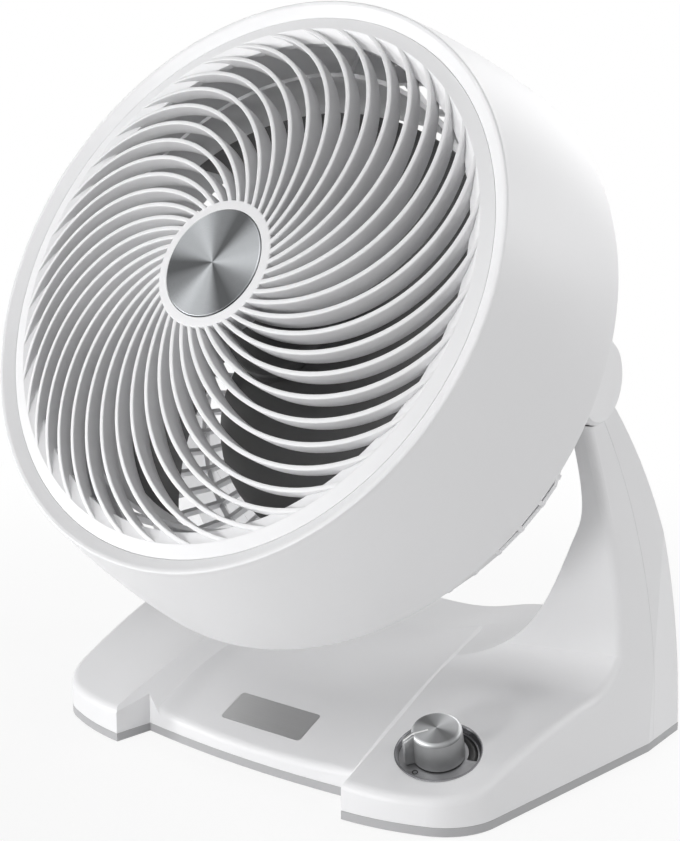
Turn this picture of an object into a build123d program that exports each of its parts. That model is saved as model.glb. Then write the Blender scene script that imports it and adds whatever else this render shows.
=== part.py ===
"""Air circulator fan: a deep flared drum that tilts between the two arms of a moulded yoke base.

Frame: millimetres, +Z up, the face looks along -Y and +X is on the right of a viewer who faces the grille.
X = 0 is the plane of symmetry, the origin lies on the table under the middle of the yoke.  The head is drawn at its tilt in use, "n" is its axis, pointing
out through the front grille, and "s" is the distance along n from the plane of the front rim.
"""
import os
from math import acos, cos, degrees, pi, radians, sin, sqrt

from build123d import *

os.makedirs("parts", exist_ok=True)

# ---------------------------------------------------------------- clearances
seat_gap = 0.15          # between two pieces of one body that fit into each other
body_gap = 0.3           # between faces of two bodies that move past each other
shaft_gap = 0.05         # radial running clearance of a shaft or pin in its bore
tool_reach = 400.0       # size of the large cutting shapes
tool_margin = 40.0       # how far they reach past what they cut

# ---------------------------------------------------------------- head: place and tilt
pivot_y = -20.5
pivot_z = 210.5
head_tilt = 28.8         # degrees above the horizontal
pivot_to_rim = 100.4     # along the head axis

# ---------------------------------------------------------------- head: drum
rim_radius = 150.0
rim_lip = 1.3            # roundness of the front lip
rear_rim_radius = 166.5
drum_length = 83.0
drum_bulge = 1.6         # how far the flare bellies out from a straight cone
drum_wall = 3.0
flare_steps = 3          # straight stretches that the bellied flare is drawn with
seat_ledge = 3.0         # width of the shoulder that the grille rests on
seat_ledge_thickness = 3.0

# ---------------------------------------------------------------- head: front grille
grille_radius = 142.0
dome_height = 13.6       # apex of the dome above the rim plane
dome_radius = 587.0      # radius of the sphere that the grille's front follows
slot_outer_radius = 135.2
ledge_inner_radius = 128.5
ledge_drop = 3.3
grille_flange = 3.2
grille_wall = 2.6
vane_count = 40
vane_width = 2.3
vane_arc_radius = 77.3   # every vane is one circular arc in front view
vane_arc_offset = 68.5   # from the head axis to the centre of that arc
vane_arc_bearing = 97.8  # degrees, direction of that centre for the first vane
vane_back_apex = 0.75    # the vanes' rear edges lie on a second, deeper dome
vane_back_radius = 450.0
hub_ring_outer = 33.2
hub_ring_wall = 2.7
badge_radius = 27.8
badge_seat_depth = 2.6
badge_thickness = 3.2
badge_floor = 2.5
badge_notch = 1.2
badge_edge = 0.5

# ---------------------------------------------------------------- head: duct
duct_radius = 121.0
duct_wall = 2.2
duct_front = 25.0
duct_back = 74.0
duct_bell = 5.0
duct_struts = 6
strut_thickness = 2.4
strut_front = 40.0
strut_length = 30.0

# ---------------------------------------------------------------- head: rear guard
guard_flange_outer = 161.0
guard_flange_inner = 150.0
guard_flange_thickness = 3.0
guard_shoulder_radius = 148.5
guard_shoulder_depth = 113.0
guard_middle_radius = 118.0
guard_middle_depth = 139.0
guard_hub_radius = 46.0
guard_depth = 157.0
guard_ring_width = 3.0
guard_rib_height = 4.6
guard_rib_width = 2.4
guard_rib_count = 60
guard_hub_thickness = 3.0
guard_side = 141.0       # the guard is flat this far out, to pass between the arms

# ---------------------------------------------------------------- pivot
boss_radius = 21.5
boss_inner_x = 126.0
boss_outer_x = 147.5
boss_flange_half = 23.0
boss_pad_thickness = 3.0
boss_edge = 1.2
pad_margin = 2.0         # how far the guard's pad reaches past the boss
tongue_thickness = 2.6
tongue_radius = 15.5
washer_thickness = 0.5
washer_radius = 12.0
pivot_cap_thickness = 5.6
pivot_cap_radius = 21.3
pivot_cap_edge = 1.7
pivot_bolt_radius = 4.0
pivot_bolt_head_radius = 7.5
pivot_bolt_head = 4.0

# ---------------------------------------------------------------- motor and impeller
shaft_radius = 4.0
shaft_tail = 6.0         # how far the shaft comes out behind its mount
rotor_radius = 40.0
rotor_wall = 2.0
rotor_edge = 4.0
rotor_front = 82.0
rotor_length = 34.0
stator_radius = 36.5
stator_bore = 12.0
stator_stack = 14.0
motor_gap = 2.0          # between the rotor and the fixed parts behind and inside it
tube_wall = 2.0
winding_overhang = 5.0
stator_teeth = 9
stator_slot = (16.0, 7.0)
stator_slot_circle = 26.0
winding_inset = 2.0
bearing_radius = 8.0
bearing_length = 7.0
mount_radius = 44.0
mount_thickness = 3.0
mount_post_width = 7.0
mount_post_circle = 36.0
mount_posts = 4
impeller_tip_radius = 118.0
impeller_hub_radius = 36.0
impeller_hub_edge = 8.0
impeller_hub_wall = 2.4
impeller_boss_radius = 8.8
impeller_front = 42.0
impeller_back = 80.0
blade_count = 3
blade_thickness = 2.4
blade_root_pitch = 48.0
blade_tip_pitch = 24.0
blade_root_chord = 50.0
blade_tip_chord = 88.0
blade_camber = 0.09
nut_radius = 9.0
nut_height = 8.0

# ---------------------------------------------------------------- base: plan
notch_front_y = -101.6   # front edge between the feet, on the centre line
notch_side_x = 73.0
notch_side_y = -97.0
foot_inner_x = 76.5
foot_front_y = -119.0
toe_bulge = 1.8
foot_corner_x = 119.0
foot_corner_y = -108.5
foot_bend_x = 133.4
foot_bend_y = -97.7
side_front_x = 140.2
side_front_y = -82.0
side_rear_x = 157.8
side_rear_y = 45.0
rear_corner_x = 157.0
rear_corner_y = 82.0
rear_y = 103.0

# ---------------------------------------------------------------- base: heights
pad_height = 0.6
plate_top = 5.2
arm_top = 196.0
arm_flare = 5.0          # how far the arms lean outwards over their height
arm_skew = 0.3           # the foot top and the arm's front face turn inwards by this slope
rear_lean_mid = 23.0     # how far the rear wall leans in at mid height
rear_lean_top = 82.0
lean_mid_z = 97.0
lean_top_z = 194.0
seam_base_y = 50.5
seam_mid_y = 37.5
seam_mid_z = 81.0
seam_top_y = -17.0

# foot top and arm front, seen from the side, at the outer face of the yoke (y, z)
foot_tip = (-130.0, 8.0)
foot_rise = (-76.0, 26.0)
foot_mid = (-36.0, 38.4)
foot_crown = (-4.0, 45.2)
crease_root = (15.0, 62.0)
crease_mid = (7.2, 103.3)
crease_high = (-9.0, 152.0)
crease_top = (-27.0, 196.0)

# inside of the yoke, seen from the front (x, z), from the middle of the saddle up the arm
saddle_z = 39.2
saddle_mid = (30.0, 42.6)
saddle_side = (60.0, 51.2)
yoke_foot = (83.7, 55.8)
yoke_bend = (102.0, 67.0)
yoke_low = (120.0, 91.8)
yoke_high = (136.0, 125.5)
yoke_inner_x = 144.5
yoke_inner_z = 172.0

# trough between the feet: station y, middle height, corner (x, z), wall top (x, z)
trough_stations = (
    (-126.0, 2.3, (67.6, 2.8), (77.4, 16.0)),
    (-96.0, 15.2, (67.0, 15.7), (76.1, 26.3)),
    (-66.0, 28.1, (66.4, 28.6), (74.8, 36.6)),
    (-10.0, 37.0, (60.0, 42.0), (69.6, 51.0)),
    (48.0, 40.2, (50.0, 49.4), (66.0, 56.4)),
)
trough_reach = 4.0       # how far the cut goes on past the top of the wall, as a multiple of the wall

# ---------------------------------------------------------------- base: inside
shell_wall = 3.0
trough_wall = 3.8
hollow_top = 55.0
crease_round = 5.0
crease_least = 25.0      # the creases are longer than this
crease_span = 45.0       # and narrower than this
screw_boss_radius = 4.6
plate_floor = 2.4
plate_rim = 3.2
bracket_foot = (6.0, 128.0)
bracket_width = 14.0

# ---------------------------------------------------------------- base: fittings
badge_plate_length = 54.0
badge_plate_width = 20.0
badge_plate_thickness = 1.2
badge_plate_proud = 0.3
badge_plate_corner = 2.0
badge_plate_y = -80.6
badge_plate_z = 21.9
badge_plate_slope = 23.4

dial_x = 106.0
dial_y = -79.0
dial_z = 30.2
dial_slope_x = -0.097
dial_slope_y = 0.315
dial_radius = 21.0
dial_depth = 4.5
dial_plate_thickness = 1.5
dial_floor = 2.0
dial_wall = 2.5
knob_radius = 13.0
knob_top_radius = 12.4
knob_height = 17.0
knob_lift = 0.5          # gap under the knob
knob_hub_radius = 5.0
knob_socket = 11.0
knob_edge = 2.4
knob_wall = 2.0
fin_reach = 17.5
fin_width = 3.6
fin_height = 11.0
fin_bearing = 205.0      # degrees about the dial's axis, where the pointer stands
pointer_width = 1.0
pointer_length = 12.0
pointer_depth = 0.8
pointer_gap = 0.1
pointer_proud = 0.3
pot_radius = 8.5
pot_height = 8.0
pot_shaft_radius = 3.0
pot_bush_radius = 4.5
pot_bush_height = 3.0
pot_floor = 1.5

board_x = 110.0
board_y = -66.0
board_length = 56.0
board_width = 30.0
board_thickness = 1.6
board_z = 9.0
post_width = 5.0
post_inset = 3.5

inlet_x = -62.0
inlet_z = 18.0
inlet_face_y = 98.2
inlet_width = 13.0
inlet_height = 11.0
inlet_depth = 16.0
inlet_bore = 2.9
inlet_socket = 11.0
inlet_corner = 1.5
inlet_pin = 1.0

foot_pad_radius = 8.0
foot_pad_depth = 1.6
foot_pad_places = ((104.0, -96.0), (-104.0, -96.0), (140.0, 68.0), (-140.0, 68.0), (0.0, 0.0))
screw_radius = 2.0
screw_head_radius = 4.0
screw_head = 1.6
screw_length = 9.0
plate_screw_places = ((88.0, -60.0), (-88.0, -60.0), (88.0, 70.0), (-88.0, 70.0))

# ---------------------------------------------------------------- derived planes
tilt = radians(head_tilt)
head_dir = Vector(0, -cos(tilt), sin(tilt))
pivot_centre = Vector(0, pivot_y, pivot_z)
rim_centre = pivot_centre + head_dir * pivot_to_rim
head_plane = Plane(origin=rim_centre, x_dir=(1, 0, 0), z_dir=head_dir)
profile_plane = Plane(origin=rim_centre, x_dir=(1, 0, 0), z_dir=(0, -sin(tilt), -cos(tilt)))
head_axis = Axis(rim_centre, head_dir)
pivot_axis = Axis(pivot_centre, (1, 0, 0))
dial_plane = Plane(
    origin=(dial_x, dial_y, dial_z), x_dir=(1, 0, dial_slope_x), z_dir=(-dial_slope_x, -dial_slope_y, 1)
)
dial_axis = Axis(dial_plane.origin, dial_plane.z_dir)
badge_dir = Vector(0, -sin(radians(badge_plate_slope)), cos(radians(badge_plate_slope)))
badge_plate_plane = Plane(origin=(0, badge_plate_y, badge_plate_z), x_dir=(1, 0, 0), z_dir=badge_dir)


def finish(piece, name):
    """Name a finished piece and write it out."""
    piece.part.label = name
    export_step(piece.part, f"parts/{name}.step")


def dome_arc(sphere, apex, inner, outer):
    """Arc about the head axis, in a profile plane, from an inner to an outer radius."""
    start, end = degrees(acos(inner / sphere)), degrees(acos(outer / sphere))
    return CenterArc((0, apex - sphere), sphere, start, end - start)


def dome(radius):
    """Height of the grille's front dome above the rim plane at a radius."""
    return dome_height - dome_radius + sqrt(dome_radius**2 - radius**2)


def dome_back(radius):
    """Height of the vanes' rear edges at a radius."""
    return -vane_back_apex - vane_back_radius + sqrt(vane_back_radius**2 - radius**2)


# ================================================================ head: drum
drum_seat_s = dome(grille_radius) - grille_flange
band_edge = (grille_radius + seat_gap, dome(grille_radius))
seat_inner = grille_radius - seat_ledge


def flare(share, inset=0):
    """Point of the drum's bellied skin at a share of its length behind the rim, moved in by an inset."""
    radius = rim_radius + (rear_rim_radius - rim_radius) * share + 4 * drum_bulge * share * (1 - share)
    return (radius - inset, -drum_length * share)


with BuildPart() as drum:
    with BuildSketch(profile_plane):
        with BuildLine():
            Polyline(
                (rim_radius, -rim_lip),
                *[flare(step / flare_steps) for step in range(1, flare_steps + 1)],
                *[flare(step / flare_steps, drum_wall) for step in range(flare_steps, 0, -1)],
                (rim_radius - drum_wall, drum_seat_s - 2 * seat_ledge_thickness),
                (seat_inner, drum_seat_s - seat_ledge_thickness),
                (seat_inner, drum_seat_s),
                (band_edge[0], drum_seat_s),
                band_edge,
                (rim_radius - 2 * rim_lip, -rim_lip / 4),
                (rim_radius - rim_lip, 0),
                (rim_radius - rim_lip / 3, -rim_lip / 3),
                close=True,
            )
        make_face()
    revolve(axis=head_axis)
finish(drum, "drum")


# ================================================================ head: front grille
def vane_angle(radius, arc):
    """Bearing, seen from the arc's centre, of the point of that arc that lies at a radius from the axis."""
    cosine = (vane_arc_offset**2 + arc**2 - radius**2) / (2 * vane_arc_offset * arc)
    return vane_arc_bearing + 180 + degrees(acos(cosine))


vane_inner_radius = hub_ring_outer - hub_ring_wall / 2
vane_outer_radius = slot_outer_radius + 0.6
vane_root_radius = ledge_inner_radius + grille_wall / 2
vane_root_s = dome(slot_outer_radius) - ledge_drop - 1.0
arc_centre = (
    vane_arc_offset * cos(radians(vane_arc_bearing)),
    vane_arc_offset * sin(radians(vane_arc_bearing)),
)

with BuildPart() as vane:
    with BuildSketch(Plane.XY.offset(dome_back(slot_outer_radius) - 5)):
        with BuildLine():
            edges = []
            for arc in (vane_arc_radius - vane_width / 2, vane_arc_radius + vane_width / 2):
                start = vane_angle(vane_inner_radius, arc)
                edges.append(CenterArc(arc_centre, arc, start, vane_angle(vane_outer_radius, arc) - start))
            Line(edges[0] @ 0, edges[1] @ 0)
            Line(edges[0] @ 1, edges[1] @ 1)
        make_face()
    extrude(amount=dome_height - dome_back(slot_outer_radius) + 10)
    with BuildSketch(Plane.XZ):
        with BuildLine():
            front = dome_arc(dome_radius, dome_height, hub_ring_outer, slot_outer_radius)
            back = dome_arc(vane_back_radius, -vane_back_apex, vane_inner_radius - 1, vane_root_radius)
            Polyline(front @ 1, (vane_outer_radius, vane_root_s), (vane_root_radius, vane_root_s), back @ 1)
            Polyline(back @ 0, (vane_inner_radius - 1, dome(hub_ring_outer) - hub_ring_wall), front @ 0)
        make_face()
    revolve(axis=Axis.Z, mode=Mode.INTERSECT)

hub_bore = badge_radius + seat_gap
hub_back = dome_back(hub_ring_outer)
badge_seat = dome(badge_radius) - badge_seat_depth
with BuildPart(head_plane) as grille_form:
    with BuildSketch(profile_plane):
        with BuildLine():
            band = dome_arc(dome_radius, dome_height, slot_outer_radius, grille_radius)
            Polyline(
                band @ 1,
                (grille_radius, drum_seat_s),
                (ledge_inner_radius + grille_wall, drum_seat_s),
                (ledge_inner_radius + grille_wall, dome_back(ledge_inner_radius)),
                (ledge_inner_radius, dome_back(ledge_inner_radius)),
                (ledge_inner_radius, dome(slot_outer_radius) - ledge_drop),
                band @ 0,
            )
        make_face()
        with BuildLine():
            Polyline(
                (0, badge_seat),
                (hub_bore, badge_seat),
                (hub_bore, dome(hub_bore)),
                (hub_ring_outer, dome(hub_ring_outer)),
                (hub_ring_outer, hub_back),
                (hub_ring_outer - hub_ring_wall, hub_back),
                (hub_ring_outer - hub_ring_wall, badge_seat - badge_floor),
                (0, badge_seat - badge_floor),
                close=True,
            )
        make_face()
    revolve(axis=head_axis)
    with PolarLocations(0, vane_count):
        add(vane.part)
with BuildPart() as front_grille:
    add(grille_form.part.solid())
finish(front_grille, "front_grille")

with BuildPart() as hub_badge:
    with BuildSketch(profile_plane):
        with BuildLine():
            Polyline(
                (0, badge_seat),
                (badge_radius, badge_seat),
                (badge_radius, badge_seat + badge_thickness - badge_edge),
                (badge_radius - badge_edge, badge_seat + badge_thickness),
                (0, badge_seat + badge_thickness),
                close=True,
            )
        make_face()
    revolve(axis=head_axis)
    with BuildSketch(head_plane.offset(badge_seat + badge_thickness)):
        with Locations((0, badge_radius)):
            Circle(badge_notch)
    extrude(amount=-badge_thickness, mode=Mode.SUBTRACT)
finish(hub_badge, "hub_badge")


# ================================================================ head: duct
def drum_inner(s):
    """Inner radius of the drum's wall at a depth s behind the rim, on the straight line of its flare."""
    return rim_radius - drum_wall + (rear_rim_radius - rim_radius) * -s / drum_length


with BuildPart() as duct_strut:
    with BuildSketch(Plane.XZ):
        with BuildLine():
            Polyline(
                (duct_radius + duct_wall / 2, -strut_front),
                (drum_inner(-strut_front) - seat_gap, -strut_front),
                (drum_inner(-strut_front - strut_length) - seat_gap, -strut_front - strut_length),
                (duct_radius + duct_wall / 2, -strut_front - strut_length),
                close=True,
            )
        make_face()
    extrude(amount=strut_thickness / 2, both=True)

with BuildPart(head_plane) as inner_duct:
    with BuildSketch(profile_plane):
        with BuildLine():
            Polyline(
                (duct_radius, -duct_front),
                (duct_radius + duct_wall, -duct_front),
                (duct_radius + duct_wall, -duct_back + duct_bell),
                (duct_radius + duct_wall + duct_bell, -duct_back),
                (duct_radius + duct_bell, -duct_back),
                (duct_radius, -duct_back + duct_bell),
                close=True,
            )
        make_face()
    revolve(axis=head_axis)
    with PolarLocations(0, duct_struts, start_angle=180 / duct_struts):
        add(duct_strut.part)
finish(inner_duct, "inner_duct")


# ================================================================ head: rear guard
guard_front = -drum_length
guard_line = (
    (guard_flange_inner + guard_rib_height / 2, guard_front - guard_flange_thickness / 2),
    (guard_shoulder_radius, -guard_shoulder_depth),
    (guard_middle_radius, -guard_middle_depth),
    (guard_hub_radius - guard_rib_height, -guard_depth),
)
pad_half = boss_flange_half + pad_margin
pad_face_x = boss_inner_x - seat_gap


def guard_ring(depth, outer, inner, thickness):
    """Ring of the rear guard, centred on a depth, straight from each rib to the next."""
    with BuildPart() as ring:
        with BuildSketch(Plane.XY.offset(depth - thickness / 2)):
            RegularPolygon(outer, guard_rib_count)
            if inner:
                RegularPolygon(inner, guard_rib_count, mode=Mode.SUBTRACT)
        extrude(amount=thickness)
    return ring.part


def rib_outline():
    """Outline of a rib of the rear guard: its line with half its height on either side."""
    runs = [(Vector(*end) - Vector(*start)).normalized() for start, end in zip(guard_line, guard_line[1:])]
    bends = [runs[0]] + [(one + two).normalized() for one, two in zip(runs, runs[1:])] + [runs[-1]]
    steps = [Vector(-bend.Y, bend.X) * guard_rib_height / 2 for bend in bends]
    front = [Vector(*point) + step for point, step in zip(guard_line, steps)]
    rear = [Vector(*point) - step for point, step in zip(guard_line, steps)]
    return front + rear[::-1]


with BuildPart() as guard_rib:
    with BuildSketch(Plane.XZ):
        with BuildLine():
            Polyline(*rib_outline(), close=True)
        make_face()
    extrude(amount=guard_rib_width / 2, both=True)

with BuildPart(head_plane) as rear_guard:
    add(guard_ring(guard_line[0][1], guard_flange_outer, guard_flange_inner, guard_flange_thickness))
    add(guard_ring(-guard_depth, guard_hub_radius, 0, guard_hub_thickness))
    for radius, depth in guard_line[1:3]:
        add(guard_ring(depth, radius + guard_ring_width / 2, radius - guard_ring_width / 2, guard_ring_width))
    with PolarLocations(0, guard_rib_count):
        add(guard_rib.part)
    # flat sides that pass between the arms, with a socket for each pivot boss
    for side in (1, -1):
        side_plane = Plane(origin=pivot_centre, x_dir=(0, 0, 1), z_dir=(side, 0, 0))
        with BuildSketch(side_plane.offset(pad_face_x)):
            Circle(pad_half + pad_margin)
        extrude(amount=guard_side - pad_face_x)
        with BuildSketch(side_plane.offset(guard_side)):
            Rectangle(tool_reach, tool_reach)
        extrude(amount=tool_reach / 4, mode=Mode.SUBTRACT)
        with BuildSketch(side_plane.offset(pad_face_x)):
            Circle(pad_half)
        extrude(amount=tool_reach / 4, mode=Mode.SUBTRACT)
        with BuildSketch(side_plane.offset(pad_face_x - boss_pad_thickness)):
            Circle(pad_half + pad_margin)
        extrude(amount=boss_pad_thickness)
    with BuildSketch(head_plane.offset(guard_front)):
        Circle(rear_rim_radius)
    extrude(amount=tool_reach / 4, mode=Mode.SUBTRACT)
finish(rear_guard, "rear_guard")


# ================================================================ pivots
groove_inner_x = boss_outer_x
tongue_inner_x = groove_inner_x + washer_thickness + body_gap
tongue_outer_x = tongue_inner_x + tongue_thickness
groove_outer_x = tongue_outer_x + body_gap + washer_thickness
cap_outer_x = groove_outer_x + pivot_cap_thickness
bolt_front_x = boss_inner_x + (boss_outer_x - boss_inner_x) / 3


def make_pivot(side, word):
    """Boss, cap, bolt and washers of one side; side is 1 on the right and -1 on the left."""
    face = Plane(origin=pivot_centre, x_dir=(0, 1, 0), z_dir=(side, 0, 0))
    with BuildPart() as boss:
        with BuildSketch(face.offset(boss_inner_x)):
            Circle(boss_flange_half)
        extrude(amount=boss_pad_thickness)
        with BuildSketch(face.offset(boss_inner_x)):
            Circle(boss_radius)
        extrude(amount=boss_outer_x - boss_inner_x)
        chamfer(boss.faces().sort_by(Axis.X)[-1 if side > 0 else 0].edges(), boss_edge)
        with BuildSketch(face.offset(boss_outer_x)):
            Circle(pivot_bolt_radius + seat_gap)
        extrude(amount=bolt_front_x - boss_outer_x, mode=Mode.SUBTRACT)
    finish(boss, f"pivot_boss_{word}")
    with BuildPart() as cap:
        with BuildSketch(face.offset(groove_outer_x)):
            Circle(pivot_cap_radius)
        extrude(amount=pivot_cap_thickness)
        chamfer(cap.faces().sort_by(Axis.X)[-1 if side > 0 else 0].edges(), pivot_cap_edge)
        with BuildSketch(face.offset(groove_outer_x)):
            Circle(pivot_bolt_radius + seat_gap)
        extrude(amount=pivot_cap_thickness / 2, mode=Mode.SUBTRACT)
    finish(cap, f"pivot_cap_{word}")
    with BuildPart() as bolt:
        with BuildSketch(face.offset(bolt_front_x)):
            Circle(pivot_bolt_radius)
        extrude(amount=groove_outer_x + pivot_cap_thickness / 2 - bolt_front_x)
    with BuildPart() as washers:
        with BuildSketch(face.offset(groove_inner_x)):
            Circle(washer_radius)
            Circle(pivot_bolt_radius + seat_gap, mode=Mode.SUBTRACT)
        extrude(amount=washer_thickness)
        with BuildSketch(face.offset(groove_outer_x - washer_thickness)):
            Circle(washer_radius)
            Circle(pivot_bolt_radius + seat_gap, mode=Mode.SUBTRACT)
        extrude(amount=washer_thickness)
    return bolt, washers


pivot_sets = [make_pivot(1, "right"), make_pivot(-1, "left")]
with BuildPart() as pivot_bolts:
    for bolt, washers in pivot_sets:
        add(bolt.part)
finish(pivot_bolts, "pivot_bolts")
with BuildPart() as friction_washers:
    for bolt, washers in pivot_sets:
        add(washers.part)
finish(friction_washers, "friction_washers")


# ================================================================ motor
rotor_back = -rotor_front - rotor_length
mount_front = rotor_back - motor_gap
tube_outer = bearing_radius + tube_wall
tube_front = -rotor_front - rotor_wall - motor_gap
tube_back = mount_front - mount_thickness
stack_mid = (tube_front + mount_front) / 2
stack_ends = ((stack_mid + stator_stack / 2, 1), (stack_mid - stator_stack / 2, -1))

with BuildPart() as motor_shaft:
    with BuildSketch(head_plane.offset(-impeller_front + nut_height)):
        Circle(shaft_radius)
    extrude(amount=tube_back - shaft_tail + impeller_front - nut_height)
finish(motor_shaft, "motor_shaft")

with BuildPart() as rotor_can:
    with BuildSketch(profile_plane):
        with BuildLine():
            Polyline(
                (shaft_radius, -rotor_front),
                (rotor_radius - rotor_edge, -rotor_front),
                (rotor_radius, -rotor_front - rotor_edge),
                (rotor_radius, rotor_back),
                (rotor_radius - rotor_wall, rotor_back),
                (rotor_radius - rotor_wall, -rotor_front - rotor_edge),
                (rotor_radius - rotor_edge, -rotor_front - rotor_wall),
                (shaft_radius, -rotor_front - rotor_wall),
                close=True,
            )
        make_face()
    revolve(axis=head_axis)
finish(rotor_can, "rotor_can")

with BuildPart() as motor_mount:
    with BuildSketch(head_plane.offset(tube_back)):
        Circle(mount_radius)
    extrude(amount=mount_thickness)
    with BuildSketch(head_plane.offset(mount_front)):
        Circle(tube_outer)
    extrude(amount=tube_front - mount_front)
    with BuildSketch(head_plane.offset(tube_back)):
        with PolarLocations(mount_post_circle, mount_posts, start_angle=45):
            Rectangle(mount_post_width, mount_post_width)
    extrude(amount=-guard_depth + guard_hub_thickness / 2 + seat_gap - tube_back)
    with BuildSketch(head_plane.offset(tube_back)):
        Circle(bearing_radius)
    extrude(amount=tube_front - tube_back, mode=Mode.SUBTRACT)
finish(motor_mount, "motor_mount")

with BuildPart() as shaft_bearings:
    for start in (tube_front - bearing_length, tube_back):
        with BuildSketch(head_plane.offset(start)):
            Circle(bearing_radius)
            Circle(shaft_radius + shaft_gap, mode=Mode.SUBTRACT)
        extrude(amount=bearing_length)
finish(shaft_bearings, "shaft_bearings")

with BuildPart() as stator_core:
    with BuildSketch(head_plane.offset(stack_mid - stator_stack / 2)):
        Circle(stator_radius)
        Circle(tube_outer + seat_gap, mode=Mode.SUBTRACT)
        with PolarLocations(stator_slot_circle, stator_teeth):
            Rectangle(*stator_slot, mode=Mode.SUBTRACT)
    extrude(amount=stator_stack)
finish(stator_core, "stator_core")

with BuildPart() as stator_windings:
    for start, direction in stack_ends:
        with BuildSketch(head_plane.offset(start)):
            Circle(stator_radius - winding_inset)
            Circle(stator_bore + winding_inset, mode=Mode.SUBTRACT)
        extrude(amount=direction * winding_overhang)
finish(stator_windings, "stator_windings")


# ================================================================ impeller
def blade_section(radius, chord, pitch):
    """Thin cambered section of a blade, on the plane square to its radius."""
    plane = Plane(
        origin=(radius, 0, -(impeller_front + impeller_back) / 2), x_dir=(0, 1, 0), z_dir=(1, 0, 0)
    ).rotated((0, 0, pitch))
    with BuildSketch(plane) as section:
        with BuildLine():
            half = chord / 2
            rise = chord * blade_camber
            upper = ThreePointArc((-half, 0), (0, rise + blade_thickness / 2), (half, 0))
            ThreePointArc(upper @ 1, (0, rise - blade_thickness / 2), upper @ 0)
        make_face()
    return section.sketch


with BuildPart() as blade:
    loft([
        blade_section(impeller_hub_radius - 4, blade_root_chord, blade_root_pitch),
        blade_section((impeller_hub_radius + impeller_tip_radius) / 2, (blade_root_chord + blade_tip_chord) / 2,
                      (blade_root_pitch + blade_tip_pitch) / 2 - 3),
        blade_section(impeller_tip_radius + 6, blade_tip_chord, blade_tip_pitch),
    ])
    with BuildSketch(Plane.XY.offset(-impeller_back - 20)):
        Circle(impeller_tip_radius)
        Circle(impeller_hub_radius - impeller_hub_wall, mode=Mode.SUBTRACT)
    extrude(amount=impeller_back + 20, mode=Mode.INTERSECT)

with BuildPart(head_plane) as impeller:
    with BuildSketch(profile_plane):
        with BuildLine():
            Polyline(
                (shaft_radius, -impeller_front),
                (impeller_hub_radius - impeller_hub_edge, -impeller_front),
                (impeller_hub_radius - impeller_hub_edge / 4, -impeller_front - impeller_hub_edge / 4),
                (impeller_hub_radius, -impeller_front - impeller_hub_edge),
                (impeller_hub_radius, -impeller_back),
                (impeller_hub_radius - impeller_hub_wall, -impeller_back),
                (impeller_hub_radius - impeller_hub_wall, -impeller_front - impeller_hub_edge),
                (impeller_hub_radius - impeller_hub_edge, -impeller_front - impeller_hub_wall),
                (impeller_boss_radius, -impeller_front - impeller_hub_wall),
                (impeller_boss_radius, -rotor_front),
                (shaft_radius, -rotor_front),
                close=True,
            )
        make_face()
    revolve(axis=head_axis)
    with PolarLocations(0, blade_count):
        add(blade.part)
finish(impeller, "impeller")

with BuildPart() as impeller_nut:
    with BuildSketch(head_plane.offset(-impeller_front)):
        RegularPolygon(nut_radius, 6)
    extrude(amount=nut_height)
    with BuildSketch(head_plane.offset(-impeller_front)):
        Circle(shaft_radius)
    extrude(amount=nut_height, mode=Mode.SUBTRACT)
finish(impeller_nut, "impeller_nut")


# ================================================================ base: outer form of the yoke
def plan_outline(flare):
    """Closed outline of the base seen from above, both feet, its sides moved out by a flare."""
    with BuildLine() as line:
        ThreePointArc((-rear_corner_x - flare, rear_corner_y), (0, rear_y), (rear_corner_x + flare, rear_corner_y))
        ThreePointArc((-notch_side_x, notch_side_y), (0, notch_front_y), (notch_side_x, notch_side_y))
        for side in (1, -1):
            Line((side * notch_side_x, notch_side_y), (side * foot_inner_x, foot_front_y))
            toe = ThreePointArc(
                (side * foot_inner_x, foot_front_y),
                (side * (foot_inner_x + foot_corner_x) / 2, (foot_front_y + foot_corner_y) / 2 - toe_bulge),
                (side * (foot_corner_x + flare), foot_corner_y),
            )
            bend = ThreePointArc(
                toe @ 1, (side * (foot_bend_x + flare), foot_bend_y), (side * (side_front_x + flare), side_front_y)
            )
            Line(bend @ 1, (side * (side_rear_x + flare), side_rear_y))
            Line((side * (side_rear_x + flare), side_rear_y), (side * (rear_corner_x + flare), rear_corner_y))
    return line.line


def skewed(point):
    """A (y, z) point of the foot and arm front, moved along the skew to the cutting sketch's plane."""
    return (point[0] + arm_skew * tool_margin, point[1])


rear_arc_radius = (rear_corner_x**2 + (rear_y - rear_corner_y) ** 2) / (2 * (rear_y - rear_corner_y))
rear_arc_axis = Axis((0, rear_y - rear_arc_radius, 0), (0, 0, 1))
front_tool_plane = Plane(origin=(rear_corner_x + tool_margin, 0, 0), x_dir=(0, 1, 0), z_dir=(1, 0, 0))
front_tool_length = (rear_corner_x + 2 * tool_margin - notch_side_x) * sqrt(1 + arm_skew**2)
cut_top = arm_top + tool_margin
seam_plane = Plane.YZ

def front_cutter(curve):
    """Shape over the foot and ahead of the arm, along curves (outside) or straight lines (inside)."""
    with BuildPart() as cutter:
        with BuildSketch(front_tool_plane):
            with BuildLine():
                foot = curve(skewed(foot_tip), skewed(foot_rise), skewed(foot_mid), skewed(foot_crown))
                arm_front = curve(skewed(crease_root), skewed(crease_mid), skewed(crease_high), skewed(crease_top))
                TangentArc(foot @ 1, arm_front @ 0, tangent=foot % 1)
                Polyline(
                    arm_front @ 1,
                    (skewed(crease_top)[0], cut_top),
                    (skewed(foot_tip)[0] - tool_margin, cut_top),
                    (skewed(foot_tip)[0] - tool_margin, foot_tip[1]),
                    foot @ 0,
                )
            make_face()
        extrude(amount=front_tool_length, dir=(-1, -arm_skew, 0))
    return cutter.part


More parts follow.
